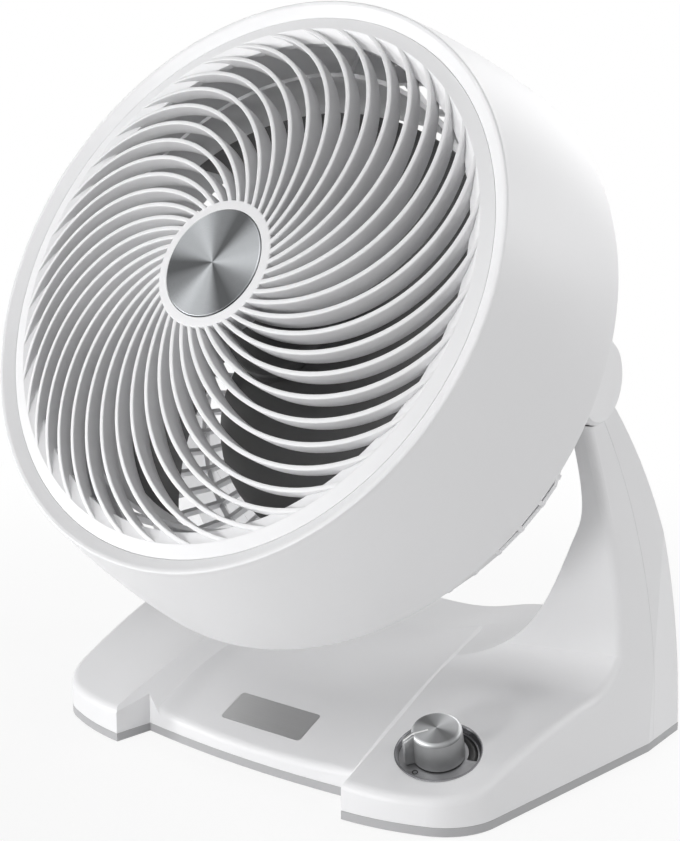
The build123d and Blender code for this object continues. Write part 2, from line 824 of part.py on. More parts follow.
def rear_cutter(curve):
    """Shape behind the yoke's leaning rear wall, turned about the axis of the base's rear arc."""
    with BuildPart() as cutter:
        with BuildSketch(seam_plane):
            with BuildLine():
                wall = curve((rear_y, 0), (rear_y - rear_lean_mid, lean_mid_z), (rear_y - rear_lean_top, lean_top_z))
                Polyline(
                    wall @ 1,
                    (rear_y - rear_lean_top - tool_margin, cut_top),
                    (rear_y + 2 * tool_margin, cut_top),
                    (rear_y + 2 * tool_margin, 0),
                    wall @ 0,
                )
            make_face()
        revolve(axis=rear_arc_axis)
    return cutter.part


def yoke_cutter(smooth):
    """Space between the arms and over the saddle, bounded by a spline (outside) or by straight lines (inside)."""
    mirrored = [(-x, z) for x, z in yoke_points[::-1]]
    with BuildPart() as cutter:
        with BuildSketch(Plane.XZ):
            with BuildLine():
                if smooth:
                    Spline(*yoke_points, tangents=((1, 0), (0, 1)))
                    Spline(*mirrored, tangents=((0, -1), (1, 0)))
                else:
                    Polyline(*mirrored, *yoke_points[1:])
                Polyline(
                    yoke_points[-1], (yoke_inner_x, cut_top), (-yoke_inner_x, cut_top), (-yoke_inner_x, yoke_inner_z)
                )
            make_face()
        extrude(amount=tool_reach / 2, both=True)
    return cutter.part


yoke_points = [
    (0, saddle_z), saddle_mid, saddle_side, yoke_foot, yoke_bend, yoke_low, yoke_high, (yoke_inner_x, yoke_inner_z)
]


def trough_section(station, middle, corner, wall_top):
    """Cross-section of the trough between the feet at one distance from the front."""
    with BuildSketch(Plane(origin=(0, station, 0), x_dir=(1, 0, 0), z_dir=(0, -1, 0))) as section:
        with BuildLine():
            floor = ThreePointArc((-corner[0], corner[1]), (0, middle), corner)
            top = Vector(*corner) + (Vector(*wall_top) - Vector(*corner)) * trough_reach
            Polyline(floor @ 1, (top.X, top.Y), (-top.X, top.Y), floor @ 0)
        make_face()
    return section.sketch


def trough_cutter(smooth):
    """Space over the trough between the feet, lofted smoothly (outside) or in straight stretches (inside)."""
    with BuildPart() as cutter:
        loft([trough_section(*station) for station in trough_stations], ruled=not smooth)
    return cutter.part


with BuildPart() as cradle_tool:
    with BuildSketch(Plane.YZ.offset(-tool_reach / 2)):
        with Locations((pivot_y, pivot_z)):
            Circle(boss_radius + 2 * body_gap)
    extrude(amount=tool_reach)

with BuildPart() as yoke_form:
    for height, flare in ((plate_top, 0), (arm_top, arm_flare)):
        with BuildSketch(Plane.XY.offset(height)):
            add(plan_outline(flare))
            make_face()
    loft(ruled=True)
    add(front_cutter(Spline), mode=Mode.SUBTRACT)
    add(front_cutter(Spline).mirror(Plane.YZ), mode=Mode.SUBTRACT)
    add(rear_cutter(ThreePointArc), mode=Mode.SUBTRACT)
    add(yoke_cutter(smooth=True), mode=Mode.SUBTRACT)
    add(trough_cutter(smooth=True), mode=Mode.SUBTRACT)
    add(cradle_tool.part, mode=Mode.SUBTRACT)


# ================================================================ base: shells
def moved(cutter, y, z):
    """A cutting shape shifted in the YZ plane, to cut the inside parallel to the outside."""
    return cutter.moved(Location((0, y, z)))


def seam_half(shift, far_y):
    """Everything from the seam between the shells to far_y, the seam itself shifted along Y."""
    with BuildPart() as half:
        with BuildSketch(seam_plane):
            with BuildLine():
                seam = ThreePointArc(
                    (seam_base_y + shift, 0), (seam_mid_y + shift, seam_mid_z), (seam_top_y + shift, arm_top)
                )
                Polyline(seam @ 1, (far_y, arm_top), (far_y, 0), seam @ 0)
            make_face()
        extrude(amount=tool_reach / 2, both=True)
    return half.part


def bracket_slab(side, clearance):
    """Tilt bracket of one side: a strip that ends in a round tongue, grown by a clearance."""
    centre = Vector(pivot_y, pivot_z)
    run = (Vector(*bracket_foot) - centre).normalized()
    across = Vector(-run.Y, run.X) * (bracket_width / 2 + clearance)
    foot = Vector(*bracket_foot) + run * clearance
    with BuildPart() as slab:
        with BuildSketch(Plane.YZ.offset(side * (tongue_inner_x + tongue_thickness / 2))):
            with Locations(centre):
                Circle(tongue_radius + clearance)
            with BuildLine():
                Polyline(centre + across, foot + across, foot - across, centre - across, close=True)
            make_face()
        extrude(amount=tongue_thickness / 2 + clearance, both=True)
    return slab.part


def is_crease(edge):
    """Whether an edge of the yoke lies where the foot's top or the arm's front meets the outer side."""
    box = edge.bounding_box()
    outside = min(abs(box.min.X), abs(box.max.X)) > foot_inner_x and box.size.X < crease_span
    ahead = box.max.Y < crease_root[0] + shell_wall and box.min.Z > foot_tip[1] + shell_wall
    return outside and ahead and edge.geom_type == GeomType.BSPLINE and edge.length > crease_least


def is_lip(edge):
    """Whether an edge of the yoke is the trough's front edge, from foot to foot."""
    middle = edge.position_at(0.5)
    return abs(middle.X) < 1 and middle.Y < 0 and middle.Z > 2 * plate_top


with BuildPart() as yoke_rounded:
    add(yoke_form.part)
    fillet(yoke_rounded.edges().filter_by(lambda edge: is_crease(edge) or is_lip(edge)), crease_round)

with BuildPart() as hollow:
    with BuildSketch(Plane.XY.offset(plate_top)):
        add(plan_outline(0))
        make_face()
        offset(amount=-shell_wall)
    extrude(amount=hollow_top - plate_top)
    add(moved(front_cutter(Polyline), shell_wall, -shell_wall), mode=Mode.SUBTRACT)
    add(moved(front_cutter(Polyline), shell_wall, -shell_wall).mirror(Plane.YZ), mode=Mode.SUBTRACT)
    add(moved(rear_cutter(Polyline), -shell_wall, 0), mode=Mode.SUBTRACT)
    add(moved(yoke_cutter(smooth=False), 0, -shell_wall), mode=Mode.SUBTRACT)
    add(moved(trough_cutter(smooth=False), 0, -trough_wall), mode=Mode.SUBTRACT)
    with Locations([(x, y, plate_top) for x, y in plate_screw_places]):
        Cylinder(screw_boss_radius, hollow_top, align=(Align.CENTER, Align.CENTER, Align.MIN), mode=Mode.SUBTRACT)
    with BuildSketch(dial_plane.offset(-dial_depth - dial_floor)):
        Circle(dial_radius + dial_wall)
    extrude(amount=hollow_top, mode=Mode.SUBTRACT)

with BuildPart() as shell_blank:
    add(yoke_rounded.part)
    add(hollow.part, mode=Mode.SUBTRACT)
    add(bracket_slab(1, seat_gap), mode=Mode.SUBTRACT)
    add(bracket_slab(-1, seat_gap), mode=Mode.SUBTRACT)
    with Locations([(x, y, plate_top) for x, y in plate_screw_places]):
        Cylinder(
            screw_radius + seat_gap,
            screw_length,
            align=(Align.CENTER, Align.CENTER, Align.MIN),
            mode=Mode.SUBTRACT,
        )

with BuildPart() as base_front_shell:
    add(shell_blank.part)
    add(seam_half(-seat_gap / 2, -tool_reach / 2), mode=Mode.INTERSECT)
    with BuildSketch(badge_plate_plane.offset(badge_plate_proud - badge_plate_thickness)):
        RectangleRounded(
            badge_plate_length + 2 * seat_gap, badge_plate_width + 2 * seat_gap, badge_plate_corner + seat_gap
        )
    extrude(amount=4 * badge_plate_thickness, mode=Mode.SUBTRACT)
    with BuildSketch(dial_plane.offset(-dial_depth)):
        Circle(dial_radius)
    extrude(amount=2 * dial_depth, mode=Mode.SUBTRACT)
    with BuildSketch(dial_plane.offset(-dial_depth - dial_floor)):
        Circle(pot_bush_radius + seat_gap)
    extrude(amount=dial_depth, mode=Mode.SUBTRACT)
finish(base_front_shell, "base_front_shell")

with BuildPart() as base_rear_cover:
    add(shell_blank.part)
    add(seam_half(seat_gap / 2, tool_reach / 2), mode=Mode.INTERSECT)
    with Locations((inlet_x, inlet_face_y, inlet_z)):
        Box(inlet_width + 2 * seat_gap, 2 * inlet_depth, inlet_height + 2 * seat_gap, mode=Mode.SUBTRACT)
finish(base_rear_cover, "base_rear_cover")


# ================================================================ base: bottom plate, pads and screws
with BuildPart() as base_plate:
    with BuildSketch(Plane.XY.offset(pad_height)):
        add(plan_outline(0))
        make_face()
    extrude(amount=plate_top - seat_gap - pad_height)
    with BuildSketch(Plane.XY.offset(pad_height + plate_floor)):
        add(plan_outline(0))
        make_face()
        offset(amount=-plate_rim)
        with Locations(plate_screw_places):
            Circle(screw_boss_radius, mode=Mode.SUBTRACT)
    extrude(amount=plate_top, mode=Mode.SUBTRACT)
    with BuildSketch(Plane.XY.offset(pad_height + plate_floor)):
        with Locations((board_x, board_y)):
            with GridLocations(board_width - 2 * post_inset, board_length - 2 * post_inset, 2, 2):
                Rectangle(post_width, post_width)
    extrude(amount=board_z - pad_height - plate_floor)
    with BuildSketch(Plane.XY.offset(pad_height)):
        with Locations(foot_pad_places):
            Circle(foot_pad_radius + seat_gap)
        with Locations(plate_screw_places):
            Circle(screw_head_radius + seat_gap)
    extrude(amount=foot_pad_depth, mode=Mode.SUBTRACT)
    with BuildSketch(Plane.XY.offset(pad_height)):
        with Locations(plate_screw_places):
            Circle(screw_radius + seat_gap)
    extrude(amount=plate_top, mode=Mode.SUBTRACT)
finish(base_plate, "base_plate")

with BuildPart() as foot_pads:
    with BuildSketch():
        with Locations(foot_pad_places):
            Circle(foot_pad_radius)
    extrude(amount=pad_height + foot_pad_depth)
finish(foot_pads, "foot_pads")

with BuildPart() as base_screws:
    with BuildSketch(Plane.XY.offset(pad_height + foot_pad_depth - screw_head)):
        with Locations(plate_screw_places):
            Circle(screw_head_radius)
    extrude(amount=screw_head)
    with BuildSketch(Plane.XY.offset(pad_height + foot_pad_depth)):
        with Locations(plate_screw_places):
            Circle(screw_radius)
    extrude(amount=screw_length)
finish(base_screws, "base_screws")


# ================================================================ base: badge plate, inlet and brackets
with BuildPart() as badge_plate:
    with BuildSketch(badge_plate_plane.offset(badge_plate_proud - badge_plate_thickness)):
        RectangleRounded(badge_plate_length, badge_plate_width, badge_plate_corner)
    extrude(amount=badge_plate_thickness)
finish(badge_plate, "badge_plate")

inlet_face = Plane(origin=(inlet_x, inlet_face_y, inlet_z), x_dir=(-1, 0, 0), z_dir=(0, 1, 0))
with BuildPart() as dc_inlet:
    with BuildSketch(inlet_face):
        RectangleRounded(inlet_width, inlet_height, inlet_corner)
    extrude(amount=-inlet_depth)
    with BuildSketch(inlet_face):
        Circle(inlet_bore)
    extrude(amount=-inlet_socket, mode=Mode.SUBTRACT)
    with BuildSketch(inlet_face.offset(-inlet_socket)):
        Circle(inlet_pin)
    extrude(amount=inlet_socket - inlet_pin)
finish(dc_inlet, "dc_inlet")

for side, word in ((1, "right"), (-1, "left")):
    with BuildPart() as tilt_bracket:
        add(bracket_slab(side, 0))
        with BuildSketch(Plane.YZ.offset(side * (tongue_inner_x + tongue_thickness / 2))):
            with Locations((pivot_y, pivot_z)):
                Circle(pivot_bolt_radius + shaft_gap)
        extrude(amount=tongue_thickness, both=True, mode=Mode.SUBTRACT)
    finish(tilt_bracket, f"tilt_bracket_{word}")


# ================================================================ dial
plate_face = dial_plate_thickness - dial_depth
knob_foot = plate_face + knob_lift
pot_top = -dial_depth - dial_floor
with BuildPart() as dial_plate:
    with BuildSketch(dial_plane.offset(-dial_depth)):
        Circle(dial_radius - seat_gap)
        Circle(pot_bush_radius + seat_gap, mode=Mode.SUBTRACT)
    extrude(amount=dial_plate_thickness)
finish(dial_plate, "dial_plate")

with BuildPart() as speed_control:
    with BuildSketch(dial_plane.offset(pot_top)):
        Circle(pot_radius)
    extrude(amount=-pot_height)
    with BuildSketch(dial_plane.offset(pot_top)):
        Circle(pot_bush_radius)
    extrude(amount=pot_bush_height)
    with BuildSketch(dial_plane.offset(pot_top + pot_bush_height)):
        Circle(pot_shaft_radius + shaft_gap)
    extrude(amount=-(pot_height + pot_bush_height - pot_floor), mode=Mode.SUBTRACT)
finish(speed_control, "speed_control")

with BuildPart() as control_board:
    with Locations((board_x, board_y, board_z)):
        Box(board_width, board_length, board_thickness, align=(Align.CENTER, Align.CENTER, Align.MIN))
finish(control_board, "control_board")

with BuildPart() as knob_cap:
    with BuildSketch(Plane(origin=dial_plane.origin, x_dir=dial_plane.x_dir, z_dir=-dial_plane.y_dir)):
        with BuildLine():
            Polyline(
                (0, knob_foot),
                (knob_radius, knob_foot),
                (knob_top_radius, knob_foot + knob_height - knob_edge),
                (knob_top_radius - knob_edge / 3, knob_foot + knob_height - knob_edge / 3),
                (knob_top_radius - knob_edge, knob_foot + knob_height),
                (0, knob_foot + knob_height),
                close=True,
            )
        make_face()
    revolve(axis=dial_axis)
    with BuildSketch(dial_plane.offset(knob_foot)):
        with Locations(Location((0, 0, 0), (0, 0, fin_bearing))):
            with Locations((fin_reach / 2, 0)):
                Rectangle(fin_reach, fin_width)
    extrude(amount=fin_height)
    with BuildSketch(dial_plane.offset(knob_foot)):
        Circle(knob_radius - knob_wall)
        Circle(knob_hub_radius, mode=Mode.SUBTRACT)
    extrude(amount=knob_height - 2 * knob_wall, mode=Mode.SUBTRACT)
    with BuildSketch(dial_plane.offset(knob_foot)):
        Circle(pot_shaft_radius + seat_gap / 2)
    extrude(amount=knob_socket, mode=Mode.SUBTRACT)
    with BuildSketch(dial_plane.offset(knob_foot + knob_height - pointer_depth)):
        with Locations(Location((0, 0, 0), (0, 0, fin_bearing))):
            with Locations((pointer_length / 2, 0)):
                Rectangle(pointer_length + 2 * pointer_gap, pointer_width + 2 * pointer_gap)
    extrude(amount=2 * pointer_depth, mode=Mode.SUBTRACT)
finish(knob_cap, "knob_cap")

with BuildPart() as knob_pointer:
    with BuildSketch(dial_plane.offset(knob_foot + knob_height - pointer_depth)):
        with Locations(Location((0, 0, 0), (0, 0, fin_bearing))):
            with Locations((pointer_length / 2, 0)):
                Rectangle(pointer_length, pointer_width)
    extrude(amount=pointer_depth + pointer_proud)
finish(knob_pointer, "knob_pointer")

with BuildPart() as knob_shaft:
    with BuildSketch(dial_plane.offset(pot_top - pot_height + pot_floor + body_gap)):
        Circle(pot_shaft_radius)
    extrude(amount=knob_foot + knob_socket - pot_top + pot_height - pot_floor - body_gap)
finish(knob_shaft, "knob_shaft")
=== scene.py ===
"""Looks of the air circulator fan: its white moulded surfaces, metal trims, floor, light and camera.

Metres, +Z up, the face looks along -Y.  The head is turned up by HEAD_TILT; on it a point is given by its
radius from the head's axis, its bearing round that axis and its distance s ahead of the front rim.
"""

import bpy
import numpy as np
from mathutils import Matrix, Vector


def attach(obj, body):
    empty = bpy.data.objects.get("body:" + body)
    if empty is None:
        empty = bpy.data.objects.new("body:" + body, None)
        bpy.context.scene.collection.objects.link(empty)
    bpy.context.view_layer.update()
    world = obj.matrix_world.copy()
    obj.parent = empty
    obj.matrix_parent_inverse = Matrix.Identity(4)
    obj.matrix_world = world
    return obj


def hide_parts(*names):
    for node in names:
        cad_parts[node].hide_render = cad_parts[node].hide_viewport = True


MM = 0.001

# ---------------------------------------------------------------- the head, as on the CAD part
HEAD_TILT = np.radians(28.8)
PIVOT = np.array([0.0, -20.5, 210.5]) * MM
PIVOT_TO_RIM = 100.4 * MM
FORWARD = np.array([0.0, -np.cos(HEAD_TILT), np.sin(HEAD_TILT)])
UPWARD = np.array([0.0, np.sin(HEAD_TILT), np.cos(HEAD_TILT)])
RIGHT = np.array([1.0, 0.0, 0.0])
RIM_CENTRE = PIVOT + PIVOT_TO_RIM * FORWARD

RIM_RADIUS = 150.0
REAR_RIM_RADIUS = 166.5
DRUM_LENGTH = 83.0
DRUM_BULGE = 1.6
DRUM_WALL = 3.0
DRUM_LIP = 1.6           # the skin ends this far behind the rim plane, where the front lip starts
DRUM_REAR_EDGE = 0.6     # the skin and the inner wall end this far ahead of the drum's rear
DRUM_SEAT_WALL = 0.4
DRUM_SEAT_RADIUS = 160.9  # the drum's rear seat reaches in to the flange of the rear guard
GRILLE_RADIUS = 142.0
GRILLE_SEAT = 3.2        # depth of the grille's rim in the drum
GRILLE_CLEARANCE = 0.15
SLOT_OUTER = 135.2
LEDGE_INNER = 128.5
LEDGE_DROP = 3.3
BAND_WALL = 2.6          # of the outer band's inward wall
DOME_HEIGHT = 13.6
DOME_RADIUS = 587.0
BACK_APEX = 0.4
BACK_RADIUS = 980.0
VANE_COUNT = 40
VANE_WIDTH = 2.3
VANE_ARC_RADIUS = 77.3
VANE_ARC_OFFSET = 68.5
VANE_ARC_BEARING = np.radians(97.8)
HUB_RING_OUTER = 33.2
HUB_RING_WALL = 2.7
BADGE_RADIUS = 27.8
BADGE_SEAT = 2.6         # depth of the hub's floor below the grille's front
BADGE_THICKNESS = 3.2
BADGE_CLEARANCE = 0.3
HUB_FLOOR = 2.5

# ---------------------------------------------------------------- the impeller
IMPELLER_CUP = [
    (4.1, -42), (28, -42), (36, -44), (36, -80), (33.6, -80), (33.6, -50), (8.8, -44.4), (8.8, -60), (4.1, -60)
]
IMPELLER_CUP_RADII = [2, 6, 0.8, 0.8, 4, 1, 0.5]
BLADE_COUNT = 3
BLADE_ROOT = 34.0
BLADE_TIP = 117.6
BLADE_THICKNESS = 2.6
BLADE_MIDDLE = -61.0
BLADE_RISE = 34.0
BLADE_ARCH = 5.0
BLADE_FIRST = -172.0     # bearing of the first edge at the root, in degrees
BLADE_SWEEP = 105.0
BLADE_SWEEP_POWER = 1.1
BLADE_LAST = -10.0       # bearing of the last edge at the root, in degrees
BLADE_LAST_SWEEP = 30.0

# ---------------------------------------------------------------- the dial
DIAL_PLACE = np.array([106.0, -79.0, 30.2]) * MM
DIAL_RIGHT = np.array([0.995328, 0.0, -0.096547])
DIAL_AHEAD = np.array([0.028884, 0.9542, 0.297771])
DIAL_UP = np.array([0.092125, -0.299169, 0.949743])
DIAL_RADIUS = 21.0
PLATE_HEIGHT = -3.0
KNOB_FOOT = -2.5
KNOB_TOP = 14.5
KNOB_RADIUS = 13.0
KNOB_TOP_RADIUS = 12.4
KNOB_EDGE = 2.4
FIN_BEARING = np.radians(231.0)
FIN_ROOT = 11.0
FIN_REACH = 17.5
FIN_WIDTH = 3.6
FIN_TOP = 11.0
FIN_FALL = 0.58          # how steeply the fin's top falls outwards
FIN_LEVEL = 12.5         # the fin's top is level inside this radius
POINTER_HALF = 0.45
CROWN_RISE = 0.35
OFF_RING_PLACE = 16.4
OFF_RING_BEARING = np.radians(258.6)
OFF_RING_RADII = (1.55, 0.95)
WEDGE_INNER = (14.2, 17.0)
WEDGE_OUTER = (19.2, 18.4)
WEDGE_BEARINGS = (np.radians(17), np.radians(160))
# Outer and inner radius of the black ring painted as shadow round the dial plate.
PAINTED_SHADOW_RADII = (20.45, 19.95)
MARK_FOOT, MARK_TOP = -0.1, 0.12  # of a printed mark, from the surface it lies on

# ---------------------------------------------------------------- camera and light
CAMERA_PLACE = np.array([500.71, -672.15, 340.29]) * MM
CAMERA_AZIMUTH = np.radians(37.66)
CAMERA_ELEVATION = np.radians(12.0)
FOCAL_PIXELS = 1554.8
VIEW_CENTRE = (336.49, 432.16)
FRAME_SIZE = (680, 841)
SENSOR = 36.0
AMBIENT = 0.15
FLOOR_HALF = 6.0
LAMP_TARGET = (0, 0, 0.2)
LAMPS = {
    "low_front_box": ((-0.3, -2.2, 0.12), 0.5, 26.2),
    "low_left_box": ((-1.6, -1.4, 0.12), 0.5, 17.5),
    "top_front_box": ((0.0, -1.7, 1.9), 1.4, 12.3),
    "top_rear_box": ((0.0, 1.6, 2.0), 1.4, 12.8),
    "right_box": ((2.3, 0.1, 0.6), 1.4, 8.9),
    "right_rear_box": ((1.6, 1.4, 1.2), 1.0, 16.1),
    "rear_box": ((0.0, 2.4, 1.0), 1.4, 10.1),
}

# ---------------------------------------------------------------- surfaces
ON_AXIS = 1e-6           # a point nearer to its axis than this is a pole
V_PER_MM = 0.05

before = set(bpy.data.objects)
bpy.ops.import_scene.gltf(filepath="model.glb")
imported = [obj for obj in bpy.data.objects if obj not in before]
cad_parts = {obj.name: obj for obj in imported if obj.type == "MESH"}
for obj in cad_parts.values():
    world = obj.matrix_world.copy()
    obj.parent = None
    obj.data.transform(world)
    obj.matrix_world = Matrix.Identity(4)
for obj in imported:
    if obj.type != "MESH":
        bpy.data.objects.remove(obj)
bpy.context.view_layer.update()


# ================================================================ surfaces
def grid_faces(rows, columns, close_rows=False, close_columns=False):
    """Quads between neighbours of a rows x columns grid of points, numbered row by row."""
    i = np.arange(rows if close_rows else rows - 1)
    j = np.arange(columns if close_columns else columns - 1)
    i, j = [a.ravel() for a in np.meshgrid(i, j, indexing="ij")]
    i_next, j_next = (i + 1) % rows, (j + 1) % columns
    corners = [i * columns + j, i * columns + j_next, i_next * columns + j_next, i_next * columns + j]
    return np.stack(corners, 1)


def surface(name, points, faces, material, body, uv=None):
    """A smooth mesh object from points, faces and, where given, a UV for each face corner, riding on a body."""
    mesh = bpy.data.meshes.new(name)
    mesh.from_pydata(points.reshape(-1, 3).tolist(), [], [list(face) for face in faces])
    mesh.polygons.foreach_set("use_smooth", np.ones(len(mesh.polygons), bool))
    if uv is not None:
        layer = mesh.uv_layers.new(name="UVMap")
        layer.data.foreach_set("uv", np.asarray(uv, np.float32).ravel())
    mesh.update()
    piece = bpy.data.objects.new(name, mesh)
    bpy.context.scene.collection.objects.link(piece)
    mesh.materials.append(material)
    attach(piece, body)
    return piece


def rounded(corners, radii, arc_steps=6):
    """Outline through corners with each inner corner turned on an arc of its own radius.

    The arc touches both edges of its corner at the distance radius / tan(half the corner's angle).
    """
    corners = np.asarray(corners, float)
    out = [corners[:1]]
    for before, corner, after, radius in zip(corners, corners[1:], corners[2:], radii):
        a = (before - corner) / np.linalg.norm(before - corner)
        b = (after - corner) / np.linalg.norm(after - corner)
        half = np.arccos(np.clip(a @ b, -1, 1)) / 2
        reach = radius / np.tan(half)
        centre = corner + (a + b) / np.linalg.norm(a + b) * radius / np.sin(half)
        start, end = corner + a * reach - centre, corner + b * reach - centre
        turn = np.arccos(np.clip(start @ end / radius**2, -1, 1))
        t = np.linspace(0, 1, arc_steps)[:, None]
        out.append(centre + (np.sin((1 - t) * turn) * start + np.sin(t * turn) * end) / np.sin(turn))
    out.append(corners[-1:])
    return held(np.concatenate(out))


def held(line, inset=0.25):
    """The same outline with a point set a little in from each end of every long run, to hold its shading."""
    run = np.diff(line, axis=0)
    length = np.linalg.norm(run, axis=1, keepdims=True)
    share = np.where(length > 4 * inset, inset / np.maximum(length, 1e-9), 0.5)
    stacked = np.stack([line[:-1], line[:-1] + run * share, line[1:] - run * share], 1).reshape(-1, 2)
    line = np.concatenate([stacked, line[-1:]])
    keep = np.concatenate([[True], np.linalg.norm(np.diff(line, axis=0), axis=1) > 1e-4])
    return line[keep]


def on_head(radius, bearing, s):
    """World places of head points given in millimetres and radians."""
    radius, bearing, s = np.broadcast_arrays(radius, bearing, s)
    side = np.cos(bearing)[..., None] * RIGHT + np.sin(bearing)[..., None] * UPWARD
    return RIM_CENTRE + MM * (radius[..., None] * side + s[..., None] * FORWARD)


def on_dial(radius, bearing, height):
    """World places of points over the dial given in millimetres and radians."""
    radius, bearing, height = np.broadcast_arrays(radius, bearing, height)
    side = np.cos(bearing)[..., None] * DIAL_RIGHT + np.sin(bearing)[..., None] * DIAL_AHEAD
    return DIAL_PLACE + MM * (radius[..., None] * side + height[..., None] * DIAL_UP)


def lathe(profile, steps=288, place=on_head, close=False):
    """Points, faces and corner UVs of a (radius, height) outline turned about an axis.

    U is the share of a turn and V the way along the outline in units of 20 mm.  The last row of faces joins
    the first; an outline that starts or ends on the axis gets one point there and a fan of triangles.
    """
    bearing = np.arange(steps) * 2 * np.pi / steps
    open_line = profile[profile[:, 0] > ON_AXIS]
    points = place(open_line[None, :, 0], bearing[:, None], open_line[None, :, 1]).reshape(-1, 3)
    count = len(open_line)
    faces = grid_faces(steps, count, close_rows=True, close_columns=close)
    row = np.repeat(np.arange(steps), len(faces) // steps)[:, None]
    along = np.cumsum(np.concatenate([[0], np.linalg.norm(np.diff(open_line, axis=0), axis=1)])) * V_PER_MM
    uv = np.stack([(row + [0, 0, 1, 1]) / steps, along[faces % count]], -1)
    faces, uv = faces.tolist(), uv.reshape(-1, 2)
    turn = np.arange(steps)
    for end, column, order in ((0, 0, 1), (-1, count - 1, -1)):
        if profile[end, 0] > ON_AXIS:
            continue
        points = np.concatenate([points, place(profile[end, 0], 0.0, profile[end, 1]).reshape(1, 3)])
        tip = np.full(steps, len(points) - 1)
        fan = np.stack([tip, turn * count + column, (turn + 1) % steps * count + column], 1)
        share = np.stack([(turn + 0.5) / steps, turn / steps, (turn + 1) / steps], 1)
        fan_uv = np.stack(np.broadcast_arrays(share, along[column]), -1)
        faces += fan[:, ::order].tolist()
        uv = np.concatenate([uv, fan_uv[:, ::order].reshape(-1, 2)])
    return points, faces, uv


def set_round(count, radius, bearing, s):
    """Places and quads of equal shapes set evenly round the head's axis, each a grid closed across its columns."""
    turn = np.arange(count) * 2 * np.pi / count
    radius, bearing, s = np.broadcast_arrays(radius, bearing, s)
    points = on_head(radius[None], bearing[None] + turn[:, None, None], s[None])
    faces = grid_faces(*bearing.shape, close_columns=True)[None] + (np.arange(count) * bearing.size)[:, None, None]
    return points, faces.reshape(-1, 4)


def dome(radius):
    """Front sphere of the grille: height over the rim plane at a radius."""
    return DOME_HEIGHT - DOME_RADIUS + np.sqrt(DOME_RADIUS**2 - radius**2)


def dome_back(radius):
    """Sphere through the vanes' rear edges."""
    return -BACK_APEX - BACK_RADIUS + np.sqrt(BACK_RADIUS**2 - radius**2)


def arc_line(start, middle, end, steps):
    """Points on the parabola through three points, the second of them halfway: near enough to a flat arc."""
    t = np.linspace(0, 1, steps)[:, None]
    start, middle, end = (np.asarray(p, float) for p in (start, middle, end))
    control = 2 * middle - (start + end) / 2
    return (1 - t) ** 2 * start + 2 * t * (1 - t) * control + t**2 * end


# ================================================================ materials
def node_tree(name):
    """A new material with a Principled shader, its tree and that shader."""
    material = bpy.data.materials.new(name)
    material.use_nodes = True
    tree = material.node_tree
    return material, tree, tree.nodes["Principled BSDF"]


def group_tree(name, inputs, outputs):
    """A shader node group with named sockets; returns the group with its in and out nodes."""
    group = bpy.data.node_groups.new(name, "ShaderNodeTree")
    for label, kind, value in inputs:
        socket = group.interface.new_socket(name=label, in_out="INPUT", socket_type=kind)
        socket.default_value = value
    for label, kind in outputs:
        group.interface.new_socket(name=label, in_out="OUTPUT", socket_type=kind)
    return group, group.nodes.new("NodeGroupInput"), group.nodes.new("NodeGroupOutput")


FLOAT, COLOUR, VECTOR = "NodeSocketFloat", "NodeSocketColor", "NodeSocketVector"


def add_node(tree, kind, **settings):
    """A node with its properties and, by socket name, its input values set."""
    node = tree.nodes.new(kind)
    for key, value in settings.items():
        if key in node.inputs:
            node.inputs[key].default_value = value
        else:
            setattr(node, key, value)
    return node


def moulded_group():
    """Moulded plastic: soft flow clouds in the colour, fine grain in the height, and an uneven gloss."""
    group, given, result = group_tree(
        "moulded_skin",
        [("Colour", COLOUR, (0.8, 0.8, 0.8, 1)), ("Cloud Size", FLOAT, 9.0), ("Grain Size", FLOAT, 900.0),
         ("Variation", FLOAT, 0.03), ("Gloss", FLOAT, 0.4)],
        [("Colour", COLOUR), ("Roughness", FLOAT), ("Height", FLOAT)],
    )
    place = add_node(group, "ShaderNodeTexCoord")
    cloud = add_node(group, "ShaderNodeTexNoise", Detail=3.0, Roughness=0.55)
    grain = add_node(group, "ShaderNodeTexNoise", Detail=2.0, Roughness=0.6)
    shade = add_node(group, "ShaderNodeMath", operation="MULTIPLY_ADD")
    darken = add_node(group, "ShaderNodeMix", data_type="RGBA", blend_type="MULTIPLY")
    rough = add_node(group, "ShaderNodeMath", operation="MULTIPLY_ADD")
    grey = add_node(group, "ShaderNodeMapRange")
    link = group.links.new
    link(place.outputs["Object"], cloud.inputs["Vector"])
    link(place.outputs["Object"], grain.inputs["Vector"])
    link(given.outputs["Cloud Size"], cloud.inputs["Scale"])
    link(given.outputs["Grain Size"], grain.inputs["Scale"])
    link(cloud.outputs["Fac"], shade.inputs[0])
    link(given.outputs["Variation"], shade.inputs[1])
    shade.inputs[2].default_value = 0.985
    link(shade.outputs[0], grey.inputs["Value"])
    grey.inputs["To Min"].default_value = 0.0
    darken.inputs["Factor"].default_value = 1.0
    link(given.outputs["Colour"], darken.inputs["A"])
    link(grey.outputs["Result"], darken.inputs["B"])
    link(darken.outputs["Result"], result.inputs["Colour"])
    link(grain.outputs["Fac"], rough.inputs[0])
    rough.inputs[1].default_value = 0.12
    link(given.outputs["Gloss"], rough.inputs[2])
    link(rough.outputs[0], result.inputs["Roughness"])
    link(grain.outputs["Fac"], result.inputs["Height"])
    return group


MOULDED = moulded_group()


